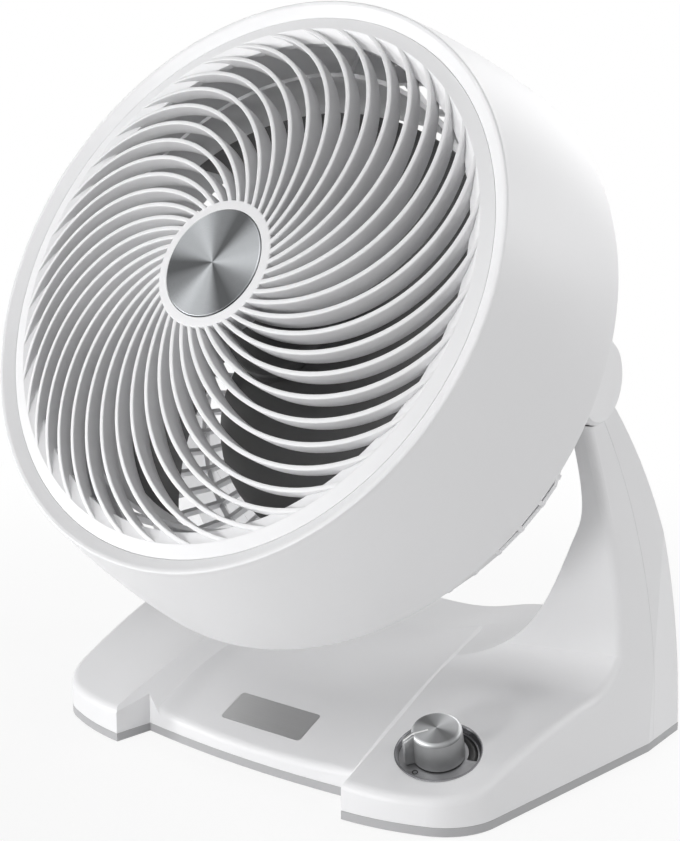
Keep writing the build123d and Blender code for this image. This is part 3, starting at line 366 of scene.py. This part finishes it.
def moulded(name, colour, gloss=0.36, grain_size=900.0, relief=0.02):
    """A moulded plastic or rubber finish in one colour."""
    material, tree, shader = node_tree(name)
    skin = add_node(tree, "ShaderNodeGroup", node_tree=MOULDED)
    skin.inputs["Colour"].default_value = (*colour, 1)
    skin.inputs["Gloss"].default_value = gloss
    skin.inputs["Grain Size"].default_value = grain_size
    bump = add_node(tree, "ShaderNodeBump", Strength=relief, Distance=0.0002)
    tree.links.new(skin.outputs["Colour"], shader.inputs["Base Color"])
    tree.links.new(skin.outputs["Roughness"], shader.inputs["Roughness"])
    tree.links.new(skin.outputs["Height"], bump.inputs["Height"])
    tree.links.new(bump.outputs["Normal"], shader.inputs["Normal"])
    return material


def brushed_group():
    """Brushed metal: long thin streaks across U, so that they run round a turned piece or along a plate."""
    group, given, result = group_tree(
        "brushed_metal",
        [("Vector", VECTOR, (0, 0, 0)), ("Colour", COLOUR, (0.6, 0.6, 0.6, 1)), ("Streaks", FLOAT, 300.0),
         ("Contrast", FLOAT, 0.25), ("Gloss", FLOAT, 0.25)],
        [("Colour", COLOUR), ("Roughness", FLOAT), ("Height", FLOAT)],
    )
    stretch = add_node(group, "ShaderNodeVectorMath", operation="MULTIPLY")
    stretch.inputs[1].default_value = (1.0, 60.0, 1.0)
    streak = add_node(group, "ShaderNodeTexNoise", Detail=4.0, Roughness=0.7)
    shade = add_node(group, "ShaderNodeMapRange")
    darken = add_node(group, "ShaderNodeMix", data_type="RGBA", blend_type="MULTIPLY")
    rough = add_node(group, "ShaderNodeMath", operation="MULTIPLY_ADD")
    low = add_node(group, "ShaderNodeMath", operation="SUBTRACT")
    low.inputs[0].default_value = 1.0
    link = group.links.new
    link(given.outputs["Vector"], stretch.inputs[0])
    link(stretch.outputs[0], streak.inputs["Vector"])
    link(given.outputs["Streaks"], streak.inputs["Scale"])
    link(streak.outputs["Fac"], shade.inputs["Value"])
    link(given.outputs["Contrast"], low.inputs[1])
    link(low.outputs[0], shade.inputs["To Min"])
    darken.inputs["Factor"].default_value = 1.0
    link(given.outputs["Colour"], darken.inputs["A"])
    link(shade.outputs["Result"], darken.inputs["B"])
    link(darken.outputs["Result"], result.inputs["Colour"])
    link(streak.outputs["Fac"], rough.inputs[0])
    rough.inputs[1].default_value = 0.12
    link(given.outputs["Gloss"], rough.inputs[2])
    link(rough.outputs[0], result.inputs["Roughness"])
    link(streak.outputs["Fac"], result.inputs["Height"])
    return group


BRUSHED = brushed_group()


def painted_rays_group():
    """Painted highlight rays: light and dark rays laid into a colour in place of the reflections of a spun face; a
    cosine of Lobes times the bearing (U is the share of a turn) and a finer one on top.
    """
    group, given, result = group_tree(
        "painted_highlight_rays",
        [("Vector", VECTOR, (0, 0, 0)), ("Lobes", FLOAT, 3.0), ("Turn", FLOAT, 0.0), ("Depth", FLOAT, 0.5)],
        [("Value", FLOAT)],
    )
    link = group.links.new
    apart = add_node(group, "ShaderNodeSeparateXYZ")
    link(given.outputs["Vector"], apart.inputs[0])
    waves = []
    for finer in (1.0, 3.0):
        count = add_node(group, "ShaderNodeMath", operation="MULTIPLY")
        count.inputs[1].default_value = finer * 2 * np.pi
        link(given.outputs["Lobes"], count.inputs[0])
        angle = add_node(group, "ShaderNodeMath", operation="MULTIPLY_ADD")
        link(count.outputs[0], angle.inputs[1])
        wave = add_node(group, "ShaderNodeMath", operation="COSINE")
        link(apart.outputs["X"], angle.inputs[0])
        link(given.outputs["Turn"], angle.inputs[2])
        link(angle.outputs[0], wave.inputs[0])
        waves.append(wave)
    both = add_node(group, "ShaderNodeMath", operation="MULTIPLY_ADD")
    both.inputs[1].default_value = 0.2
    link(waves[1].outputs[0], both.inputs[0])
    link(waves[0].outputs[0], both.inputs[2])
    low = add_node(group, "ShaderNodeMath", operation="SUBTRACT")
    low.inputs[0].default_value = 1.0
    link(given.outputs["Depth"], low.inputs[1])
    value = add_node(group, "ShaderNodeMapRange")
    value.inputs["From Min"].default_value = -1.0
    value.inputs["From Max"].default_value = 1.2
    link(both.outputs[0], value.inputs["Value"])
    link(low.outputs[0], value.inputs["To Min"])
    link(value.outputs["Result"], result.inputs["Value"])
    return group


PAINTED_RAYS = painted_rays_group()


def brushed(
    name, colour, gloss=0.25, streaks=6.0, contrast=0.2, turned=False, anisotropy=0.0, painted_rays=0.0, lobes=3.0, turn=0.0
):
    """Brushed metal; on a turned piece the streaks and the shine follow its UV map, and a nonzero ray depth paints
    light and dark highlight rays into its colour.
    """
    material, tree, shader = node_tree(name)
    place = add_node(tree, "ShaderNodeTexCoord")
    metal = add_node(tree, "ShaderNodeGroup", node_tree=BRUSHED)
    metal.inputs["Colour"].default_value = (*colour, 1)
    metal.inputs["Gloss"].default_value = gloss
    metal.inputs["Streaks"].default_value = streaks
    metal.inputs["Contrast"].default_value = contrast
    bump = add_node(tree, "ShaderNodeBump", Strength=0.05, Distance=0.0001)
    link = tree.links.new
    link(place.outputs["UV" if turned else "Object"], metal.inputs["Vector"])
    # Painted highlight: light and dark rays multiplied into the base colour, standing in for the reflections of spun
    # metal.
    if painted_rays:
        painted_ray = add_node(tree, "ShaderNodeGroup", node_tree=PAINTED_RAYS)
        painted_ray.inputs["Depth"].default_value = painted_rays
        painted_ray.inputs["Lobes"].default_value = lobes
        painted_ray.inputs["Turn"].default_value = turn
        shade = add_node(tree, "ShaderNodeMix", data_type="RGBA", blend_type="MULTIPLY")
        shade.inputs["Factor"].default_value = 1.0
        link(place.outputs["UV"], painted_ray.inputs["Vector"])
        link(metal.outputs["Colour"], shade.inputs["A"])
        link(painted_ray.outputs["Value"], shade.inputs["B"])
        link(shade.outputs["Result"], shader.inputs["Base Color"])
    else:
        link(metal.outputs["Colour"], shader.inputs["Base Color"])
    link(metal.outputs["Roughness"], shader.inputs["Roughness"])
    link(metal.outputs["Height"], bump.inputs["Height"])
    link(bump.outputs["Normal"], shader.inputs["Normal"])
    shader.inputs["Metallic"].default_value = 1.0
    shader.inputs["Anisotropic"].default_value = anisotropy
    if turned:
        tangent = add_node(tree, "ShaderNodeTangent", direction_type="UV_MAP", uv_map="UVMap")
        link(tangent.outputs["Tangent"], shader.inputs["Tangent"])
    return material


white = moulded("white_satin", (0.80, 0.80, 0.81))
grey_plastic = moulded("grey_plastic", (0.42, 0.42, 0.43), gloss=0.42)
black_plastic = moulded("black_plastic", (0.03, 0.03, 0.032), gloss=0.3)
rubber = moulded("pad_rubber", (0.03, 0.03, 0.03), gloss=0.7, grain_size=500.0, relief=0.08)
washer_plastic = moulded("washer_plastic", (0.6, 0.6, 0.56), gloss=0.4)
board_green = moulded("board_green", (0.02, 0.12, 0.05), gloss=0.3, grain_size=300.0)
# Very dark grey of the impeller and its hub: partly their own grey, partly painted shade of the drum's inside.
blade_grey = moulded("blade_grey", (0.10, 0.10, 0.10), gloss=0.34)
pointer_white = moulded("pointer_white", (0.85, 0.85, 0.85), gloss=0.25)
steel = brushed("plain_steel", (0.5, 0.5, 0.5), gloss=0.3)
core_steel = brushed("core_steel", (0.22, 0.22, 0.23), gloss=0.35)
copper = brushed("winding_copper", (0.55, 0.25, 0.1), gloss=0.35, streaks=30.0)
plate_metal = brushed("badge_metal", (0.62, 0.62, 0.62), gloss=0.3, streaks=40.0, contrast=0.15)
dial_metal = brushed("dial_metal", (0.42, 0.42, 0.43), gloss=0.34)
# Spun metal with real anisotropic shine, and with light and dark highlight rays painted into its colour.
spun = brushed(
    "spun_metal", (0.60, 0.62, 0.64), gloss=0.22, streaks=18.0, turned=True,
    anisotropy=0.8, painted_rays=0.82, turn=-0.8,
)
# Knob metal, also with light and dark highlight rays painted into its colour.
knob_metal = brushed(
    "knob_metal", (0.72, 0.73, 0.74), gloss=0.45, streaks=18.0, turned=True,
    anisotropy=0.5, painted_rays=0.7, lobes=2.0, turn=-2.3,
)
knob_side = brushed("knob_side", (0.40, 0.405, 0.41), gloss=0.46, streaks=18.0, turned=True, anisotropy=0.3)
# Black of the printed marks; the same black also paints the shadow ring round the dial plate.
print_and_shadow_black = moulded("dial_print_and_shadow", (0.02, 0.02, 0.02), gloss=0.4)

FINISHES = {
    "base_plate": grey_plastic, "foot_pads": rubber, "base_screws": steel, "badge_plate": plate_metal,
    "dc_inlet": black_plastic, "tilt_bracket_right": steel, "tilt_bracket_left": steel,
    "dial_plate": dial_metal, "speed_control": black_plastic, "control_board": board_green,
    "pivot_bolts": steel, "friction_washers": washer_plastic, "motor_mount": grey_plastic,
    "stator_core": core_steel, "stator_windings": copper, "shaft_bearings": steel, "motor_shaft": steel,
    "rotor_can": core_steel, "impeller_nut": black_plastic, "knob_pointer": pointer_white, "knob_shaft": steel,
    "hub_badge": plate_metal, "knob_cap": plate_metal, "impeller": blade_grey,
}
for name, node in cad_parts.items():
    node.data.materials.clear()
    node.data.materials.append(FINISHES.get(name, white))


# ================================================================ drum
def drum_profile():
    """Outline of the drum: bellied outer skin, round front lip, inner wall and the rear seat for the guard."""
    rear, wall = -DRUM_LENGTH, REAR_RIM_RADIUS - DRUM_WALL
    middle = (RIM_RADIUS + REAR_RIM_RADIUS) / 2 + DRUM_BULGE
    skin = arc_line(
        (REAR_RIM_RADIUS, rear + DRUM_REAR_EDGE), (middle, rear / 2), (RIM_RADIUS, -DRUM_LIP), 40
    )
    bore, seat = GRILLE_RADIUS + GRILLE_CLEARANCE, dome(GRILLE_RADIUS) - GRILLE_SEAT
    lip = rounded(
        [(RIM_RADIUS, -DRUM_LIP), (RIM_RADIUS - 0.15, 0.0), (RIM_RADIUS - 2.4, -0.5),
         (bore, dome(GRILLE_RADIUS)), (bore, seat), (GRILLE_RADIUS - 3, seat)],
        [1.1, 1.2, 0.3, 0.2],
    )
    inside = arc_line(
        (GRILLE_RADIUS - 3, seat - 3), (middle - DRUM_WALL, rear / 2), (wall, rear + DRUM_REAR_EDGE), 24
    )
    edge = rounded(
        [inside[-1], (wall, rear + DRUM_SEAT_WALL), (DRUM_SEAT_RADIUS, rear + DRUM_SEAT_WALL),
         (DRUM_SEAT_RADIUS, rear), (REAR_RIM_RADIUS, rear), skin[0]],
        [0.1, 0.1, 0.1, 0.5],
    )
    return np.concatenate([skin, lip[1:], inside, edge[1:-1]])


def build_drum():
    """The drum's outline turned about the head's axis."""
    points, faces, _ = lathe(drum_profile(), close=True)
    drum = surface("drum_shell", points, faces, white, "head")
    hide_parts("drum")


# ================================================================ grille
def vane_bearing(radius, arc):
    """Bearing, from the vane arc's centre, of the arc's point at a radius from the head's axis (law of cosines)."""
    cosine = (VANE_ARC_OFFSET**2 + arc**2 - radius**2) / (2 * VANE_ARC_OFFSET * arc)
    return VANE_ARC_BEARING + np.pi + np.arccos(cosine)


def vane_section(edge=0.55, steps=4):
    """Cross-section of a vane: (offset across, share of depth, fixed distance from that end), rounded in front."""
    turn = np.linspace(0, np.pi / 2, steps)
    half = VANE_WIDTH / 2
    front = np.stack([half - edge + edge * np.sin(turn), 0 * turn, edge - edge * np.cos(turn)], 1)
    side = np.array([[half, 0, 1.2], [half, 0.5, 0], [half * 0.86, 1, -0.5], [half * 0.7, 1, 0]])
    right = np.concatenate([front, side])
    left = right[::-1] * [-1, 1, 1]
    return np.concatenate([right, left])


def build_vanes():
    """Forty vanes, each carried along one circular arc.

    A vane's point lies on a circle about the arc's centre whose radius is the arc's plus the offset
    across; its depth runs from the front sphere to the rear one along the head's axis.
    """
    section = vane_section()
    radius = np.concatenate([
        np.linspace(HUB_RING_OUTER - 1.2, 60, 22)[:-1],
        np.linspace(60, LEDGE_INNER, 30),
        [129.2, 131, 133, 134.6, 135.1],
    ])
    arc = VANE_ARC_RADIUS + section[:, 0]
    bearing = vane_bearing(radius[:, None], arc[None])
    x = VANE_ARC_OFFSET * np.cos(VANE_ARC_BEARING) + arc * np.cos(bearing)
    y = VANE_ARC_OFFSET * np.sin(VANE_ARC_BEARING) + arc * np.sin(bearing)
    front = dome(radius)
    ledge = dome(SLOT_OUTER) - LEDGE_DROP * (SLOT_OUTER - radius) / (SLOT_OUTER - LEDGE_INNER) - 0.8
    back = np.where(radius > LEDGE_INNER, ledge, dome_back(radius))
    s = front[:, None] + (back - front)[:, None] * section[:, 1] - section[:, 2]
    points, faces = set_round(VANE_COUNT, np.hypot(x, y), np.arctan2(y, x), s)
    vanes = surface("grille_vanes", points, faces, white, "head")


def build_grille_rings():
    """The grille's outer band and its hub ring: two outlines turned about the head's axis."""
    seat = dome(GRILLE_RADIUS) - GRILLE_SEAT
    band = np.linspace(SLOT_OUTER, GRILLE_RADIUS - 0.2, 8)
    rim = np.stack([band, dome(band)], 1)[::-1]
    ring = rounded(
        [(GRILLE_RADIUS, seat), (GRILLE_RADIUS, dome(GRILLE_RADIUS)), *rim,
         (LEDGE_INNER, dome(SLOT_OUTER) - LEDGE_DROP), (LEDGE_INNER, dome_back(LEDGE_INNER)),
         (LEDGE_INNER + BAND_WALL, dome_back(LEDGE_INNER)), (LEDGE_INNER + BAND_WALL, seat)],
        [0.2] * len(rim) + [0.5, 0.5, 0.4, 0.4],
    )
    points, faces, _ = lathe(ring, close=True)
    outer = surface("grille_band", points, faces, white, "head")
    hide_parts("front_grille")

    bore, floor = BADGE_RADIUS + BADGE_CLEARANCE, dome(BADGE_RADIUS) - BADGE_SEAT
    wall, back = HUB_RING_OUTER - HUB_RING_WALL, dome_back(HUB_RING_OUTER)
    inner = rounded(
        [(0, floor), (bore, floor), (bore, dome(bore) + 0.15), (HUB_RING_OUTER, dome(HUB_RING_OUTER)),
         (HUB_RING_OUTER, back), (wall, back), (wall, floor - HUB_FLOOR), (0, floor - HUB_FLOOR)],
        [0.1, 0.4, 0.7, 0.4, 0.4, 0.4],
    )
    points, faces, _ = lathe(inner, 160)
    hub = surface("hub_ring", points, faces, white, "head")


def build_badge():
    """Spun disc in the hub: a turned outline whose UV map runs round it, so that the shine and the painted highlight
    rays run round it.
    """
    floor = dome(BADGE_RADIUS) - BADGE_SEAT
    top = floor + BADGE_THICKNESS
    edge = rounded(
        [(BADGE_RADIUS - 1.2, top), (BADGE_RADIUS, top), (BADGE_RADIUS, floor + 0.05), (0, floor + 0.05)], [0.5, 0.2]
    )
    flat = np.linspace(0, BADGE_RADIUS - 1.5, 24)
    outline = np.concatenate([np.stack([flat, np.full_like(flat, top)], 1), edge])
    points, faces, uv = lathe(outline, 180)
    badge = surface("hub_badge_face", points, faces, spun, "head", uv)
    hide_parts("hub_badge")


# ================================================================ dial and knob
def turned_dial(name, outline, material, body, steps=144, close=False):
    """A (radius, height) outline turned about the dial's axis."""
    points, faces, uv = lathe(outline, steps, on_dial, close)
    return surface(name, points, faces, material, body, uv)


def flat_mark(name, inner, outer, start, end, steps):
    """A thin printed mark on the dial plate: an arc whose inner and outer radius change evenly from end to end."""
    bearing = np.linspace(start, end, steps)
    share = np.linspace(0, 1, steps)
    inside = inner[0] + (inner[1] - inner[0]) * share
    outside = outer[0] + (outer[1] - outer[0]) * share
    radius = np.stack([inside, inside, outside, outside], 1)
    rise = PLATE_HEIGHT + np.array([MARK_FOOT, MARK_TOP, MARK_TOP, MARK_FOOT])
    points = on_dial(radius, bearing[:, None], rise[None])
    return surface(name, points, grid_faces(steps, 4, close_columns=True), print_and_shadow_black, "base")


def build_knob():
    """Turned knob: a crown that falls off with the square of the radius, a round shoulder and a tapered wall."""
    radius = np.linspace(0, KNOB_TOP_RADIUS - KNOB_EDGE, 20)
    crown = np.stack([radius, KNOB_TOP + CROWN_RISE * (1 - (radius / KNOB_TOP_RADIUS) ** 2) - CROWN_RISE], 1)
    shoulder = rounded(
        [crown[-1], (KNOB_TOP_RADIUS - 0.1, KNOB_TOP - 0.3), (KNOB_TOP_RADIUS + 0.1, KNOB_TOP - 2.6)],
        [2.1], arc_steps=10,
    )
    top = np.concatenate([crown, shoulder[1:]])
    face = turned_dial("knob_top_face", top, knob_metal, "knob")
    side = rounded(
        [top[-1], (KNOB_RADIUS, KNOB_FOOT), (KNOB_RADIUS - 2, KNOB_FOOT), (KNOB_RADIUS - 2, KNOB_FOOT + 3)],
        [0.5, 0.3],
    )
    body = turned_dial("knob_side_wall", side, knob_side, "knob")
    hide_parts("knob_cap")


def build_fin():
    """The knob's fin: an upright section with rounded top corners, carried outwards along FIN_BEARING.

    Its top falls by FIN_FALL per millimetre from FIN_LEVEL on, and its end shrinks to the section's middle.
    """
    turn = np.linspace(0, np.pi / 2, 6)
    half, soft = FIN_WIDTH / 2, 0.5
    corner = np.stack([half - soft + soft * np.cos(turn), FIN_TOP - soft + soft * np.sin(turn)], 1)
    right = np.concatenate([[[half, KNOB_FOOT]], corner])
    section = np.concatenate([right, right[::-1] * [-1, 1]])
    reach = np.array([FIN_ROOT, FIN_LEVEL, FIN_REACH - 0.6, FIN_REACH - 0.2, FIN_REACH, FIN_REACH])
    shrink = np.array([0.0, 0.0, 0.0, 0.15, 0.45, 1.0])
    middle = (KNOB_FOOT + FIN_TOP) / 2
    lift = FIN_FALL * (FIN_REACH - np.maximum(reach, FIN_LEVEL))
    across = section[None, :, 0] * (1 - shrink[:, None])
    rise = middle + (section[None, :, 1] - middle) * (1 - np.minimum(shrink, 0.94)[:, None])
    rise = rise + lift[:, None] * (section[None, :, 1] > 0)
    points = on_dial(np.hypot(reach[:, None], across), FIN_BEARING + np.arctan2(across, reach[:, None]), rise)
    faces = grid_faces(len(reach), len(section), close_columns=True)[:, ::-1]
    uv = np.stack(np.broadcast_arrays(reach[:, None] * 0.02, section[None, :, 1] * V_PER_MM), -1)
    fin = surface("knob_fin", points, faces, knob_side, "knob", uv.reshape(-1, 2)[faces])


def build_pointer():
    """The white line: a flat strip that follows the knob's crown and then the fin's falling top."""
    line = np.concatenate([np.linspace(4.2, 11.4, 8), [12.2, 13.0, 15.0, FIN_REACH - 0.5]])
    edge = POINTER_HALF * np.array([-1, -1, 1, 1])
    crest = KNOB_TOP - CROWN_RISE * (line / KNOB_TOP_RADIUS) ** 2
    height = np.where(line > 11.8, np.minimum(crest, FIN_TOP + FIN_FALL * (FIN_REACH - line)), crest)
    height = height[:, None] + np.array([-0.4, MARK_TOP, MARK_TOP, -0.4])[None]
    points = on_dial(np.hypot(line[:, None], edge), FIN_BEARING + np.arctan2(edge, line[:, None]), height)
    pointer = surface("knob_line", points, grid_faces(len(line), 4, close_columns=True), pointer_white, "knob")
    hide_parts("knob_pointer")


def build_dial():
    """The printed speed wedge and off ring, the recess's metal rim and a black ring painted as the shadow round the
    dial plate.
    """
    wedge = flat_mark("speed_wedge", WEDGE_INNER, WEDGE_OUTER, *WEDGE_BEARINGS, 60)
    angle = np.linspace(0, 2 * np.pi, 33)[:-1]
    outer, inner = OFF_RING_RADII
    ring = np.array([[outer, MARK_FOOT], [outer, MARK_TOP], [inner, MARK_TOP], [inner, MARK_FOOT]])
    x = OFF_RING_PLACE * np.cos(OFF_RING_BEARING) + ring[None, :, 0] * np.cos(angle)[:, None]
    y = OFF_RING_PLACE * np.sin(OFF_RING_BEARING) + ring[None, :, 0] * np.sin(angle)[:, None]
    points = on_dial(np.hypot(x, y), np.arctan2(y, x), PLATE_HEIGHT + ring[None, :, 1])
    off = surface("off_ring", points, grid_faces(32, 4, close_rows=True, close_columns=True), print_and_shadow_black, "base")

    rim = rounded(
        [(DIAL_RADIUS - 0.9, PLATE_HEIGHT), (DIAL_RADIUS - 0.25, -0.3),
         (DIAL_RADIUS + 0.2, 0.22), (DIAL_RADIUS + 1.0, -0.2)],
        [1.0, 0.3],
    )
    trim = turned_dial("dial_rim", rim, core_steel, "base")
    # Painted shadow: a flat black ring at the plate's edge where the plate meets the rim.
    outer, inner = PAINTED_SHADOW_RADII
    painted_shadow_outline = np.array([(outer, -0.1), (outer, 0.1), (inner, 0.1), (inner, -0.1)]) + [0, PLATE_HEIGHT]
    shadow_line = turned_dial("dial_painted_shadow", painted_shadow_outline, print_and_shadow_black, "base", close=True)


# ================================================================ impeller
def build_impeller():
    """Hub cup turned about the axis, and three broad blades.

    A blade's point lies at a radius and at a share of its chord.  Its bearing runs from a first edge swept back
    with the radius to a nearly straight last one, its distance s rises along the chord by BLADE_RISE with a
    shallow arch, and its thickness follows a half circle.
    """
    points, faces, _ = lathe(rounded(IMPELLER_CUP, IMPELLER_CUP_RADII), 120, close=True)
    hub = surface("impeller_hub", points, faces, blade_grey, "fan")

    radius = np.concatenate([np.linspace(BLADE_ROOT, BLADE_TIP - 1, 22), [BLADE_TIP - 0.3, BLADE_TIP]])
    body = np.concatenate([np.ones(22), [0.6, 0.02]])
    around = np.linspace(0, 2 * np.pi, 61)[:-1]
    chord = 0.5 - 0.5 * np.cos(around)
    half = BLADE_THICKNESS / 2 * np.sin(around)
    share = (radius - BLADE_ROOT) / (BLADE_TIP - BLADE_ROOT)
    first = np.radians(BLADE_FIRST + BLADE_SWEEP * share**BLADE_SWEEP_POWER)
    last = np.radians(BLADE_LAST + BLADE_LAST_SWEEP * share)
    bearing = first[:, None] + (last - first)[:, None] * chord[None]
    s = BLADE_MIDDLE + BLADE_RISE * (chord - 0.5) + BLADE_ARCH * (1 - (2 * chord - 1) ** 2)
    points, faces = set_round(BLADE_COUNT, radius[:, None], bearing, s[None] + body[:, None] * half[None])
    blades = surface("impeller_blades", points, faces, blade_grey, "fan")
    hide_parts("impeller")


build_drum()
build_vanes()
build_grille_rings()
build_badge()
build_knob()
build_fin()
build_pointer()
build_dial()
build_impeller()


# ================================================================ camera, light and floor
def aim_camera():
    """Camera at the photograph's viewing angle, right of the fan and a little above it."""
    turn, rise = CAMERA_AZIMUTH, CAMERA_ELEVATION
    right = np.array([np.cos(turn), np.sin(turn), 0.0])
    back = np.array([np.sin(turn) * np.cos(rise), -np.cos(turn) * np.cos(rise), np.sin(rise)])
    matrix = np.eye(4)
    matrix[:3] = np.stack([right, np.cross(back, right), back, CAMERA_PLACE], 1)
    width, height = FRAME_SIZE
    data = bpy.data.cameras.new("camera")
    data.sensor_width = SENSOR
    data.lens = FOCAL_PIXELS / height * SENSOR
    data.shift_x = (width / 2 - VIEW_CENTRE[0]) / height
    data.shift_y = (VIEW_CENTRE[1] - height / 2) / height
    data.clip_start = 0.01
    camera = bpy.data.objects.new("camera", data)
    bpy.context.scene.collection.objects.link(camera)
    camera.matrix_world = Matrix(matrix.tolist())
    bpy.context.scene.camera = camera


def soft_box(name, place, target, size, power):
    """A square area lamp that faces a point."""
    data = bpy.data.lights.new(name, "AREA")
    data.shape = "SQUARE"
    data.size = size
    data.energy = power
    lamp = bpy.data.objects.new(name, data)
    lamp.location = place
    lamp.rotation_euler = (Vector(target) - Vector(place)).to_track_quat("-Z", "Y").to_euler()
    lamp.visible_camera = False
    bpy.context.scene.collection.objects.link(lamp)


def room_share(tree, low, high):
    """A factor that is low for the light on the object and high where camera, gloss or glass looks at the room."""
    path = add_node(tree, "ShaderNodeLightPath")
    seen = add_node(tree, "ShaderNodeMath", operation="MAXIMUM")
    either = add_node(tree, "ShaderNodeMath", operation="MAXIMUM")
    share = add_node(tree, "ShaderNodeMapRange")
    share.inputs["To Min"].default_value = low
    share.inputs["To Max"].default_value = high
    tree.links.new(path.outputs["Is Camera Ray"], seen.inputs[0])
    tree.links.new(path.outputs["Is Glossy Ray"], seen.inputs[1])
    tree.links.new(seen.outputs[0], either.inputs[0])
    tree.links.new(path.outputs["Is Transmission Ray"], either.inputs[1])
    tree.links.new(either.outputs[0], share.inputs["Value"])
    return share


def build_room():
    """White surroundings, and a pale floor that turns fully white away from the object and keeps its shadow."""
    world = bpy.data.worlds.new("room")
    bpy.context.scene.world = world
    world.use_nodes = True
    tree = world.node_tree
    tree.nodes["Background"].inputs["Color"].default_value = (1, 1, 1, 1)
    strength = room_share(tree, AMBIENT, 1.0)
    tree.links.new(strength.outputs["Result"], tree.nodes["Background"].inputs["Strength"])

    material, tree, shader = node_tree("floor_white")
    shader.inputs["Base Color"].default_value = (0.85, 0.85, 0.85, 1)
    shader.inputs["Roughness"].default_value = 0.6
    glow = add_node(tree, "ShaderNodeEmission", Strength=1.0)
    mix = add_node(tree, "ShaderNodeMixShader")
    place = add_node(tree, "ShaderNodeTexCoord")
    far = add_node(tree, "ShaderNodeVectorMath", operation="LENGTH")
    near_share = add_node(tree, "ShaderNodeMapRange", interpolation_type="SMOOTHSTEP")
    for label, value in (("From Min", 0.22), ("From Max", 0.7), ("To Min", 0.88), ("To Max", 1.0)):
        near_share.inputs[label].default_value = value
    share = add_node(tree, "ShaderNodeMath", operation="MULTIPLY")
    link = tree.links.new
    link(place.outputs["Object"], far.inputs[0])
    link(far.outputs["Value"], near_share.inputs["Value"])
    link(near_share.outputs["Result"], share.inputs[0])
    link(room_share(tree, 0.0, 1.0).outputs["Result"], share.inputs[1])
    link(share.outputs[0], mix.inputs["Fac"])
    link(shader.outputs["BSDF"], mix.inputs[1])
    link(glow.outputs["Emission"], mix.inputs[2])
    link(mix.outputs["Shader"], tree.nodes["Material Output"].inputs["Surface"])
    mesh = bpy.data.meshes.new("floor")
    corners = [(x * FLOOR_HALF, y * FLOOR_HALF, 0) for x, y in ((-1, -1), (1, -1), (1, 1), (-1, 1))]
    mesh.from_pydata(corners, [], [(0, 1, 2, 3)])
    mesh.materials.append(material)
    floor = bpy.data.objects.new("floor", mesh)
    bpy.context.scene.collection.objects.link(floor)


aim_camera()
build_room()
for name, (place, size, power) in LAMPS.items():
    soft_box(name, place, LAMP_TARGET, size, power)
bpy.context.scene.view_settings.view_transform = "Standard"
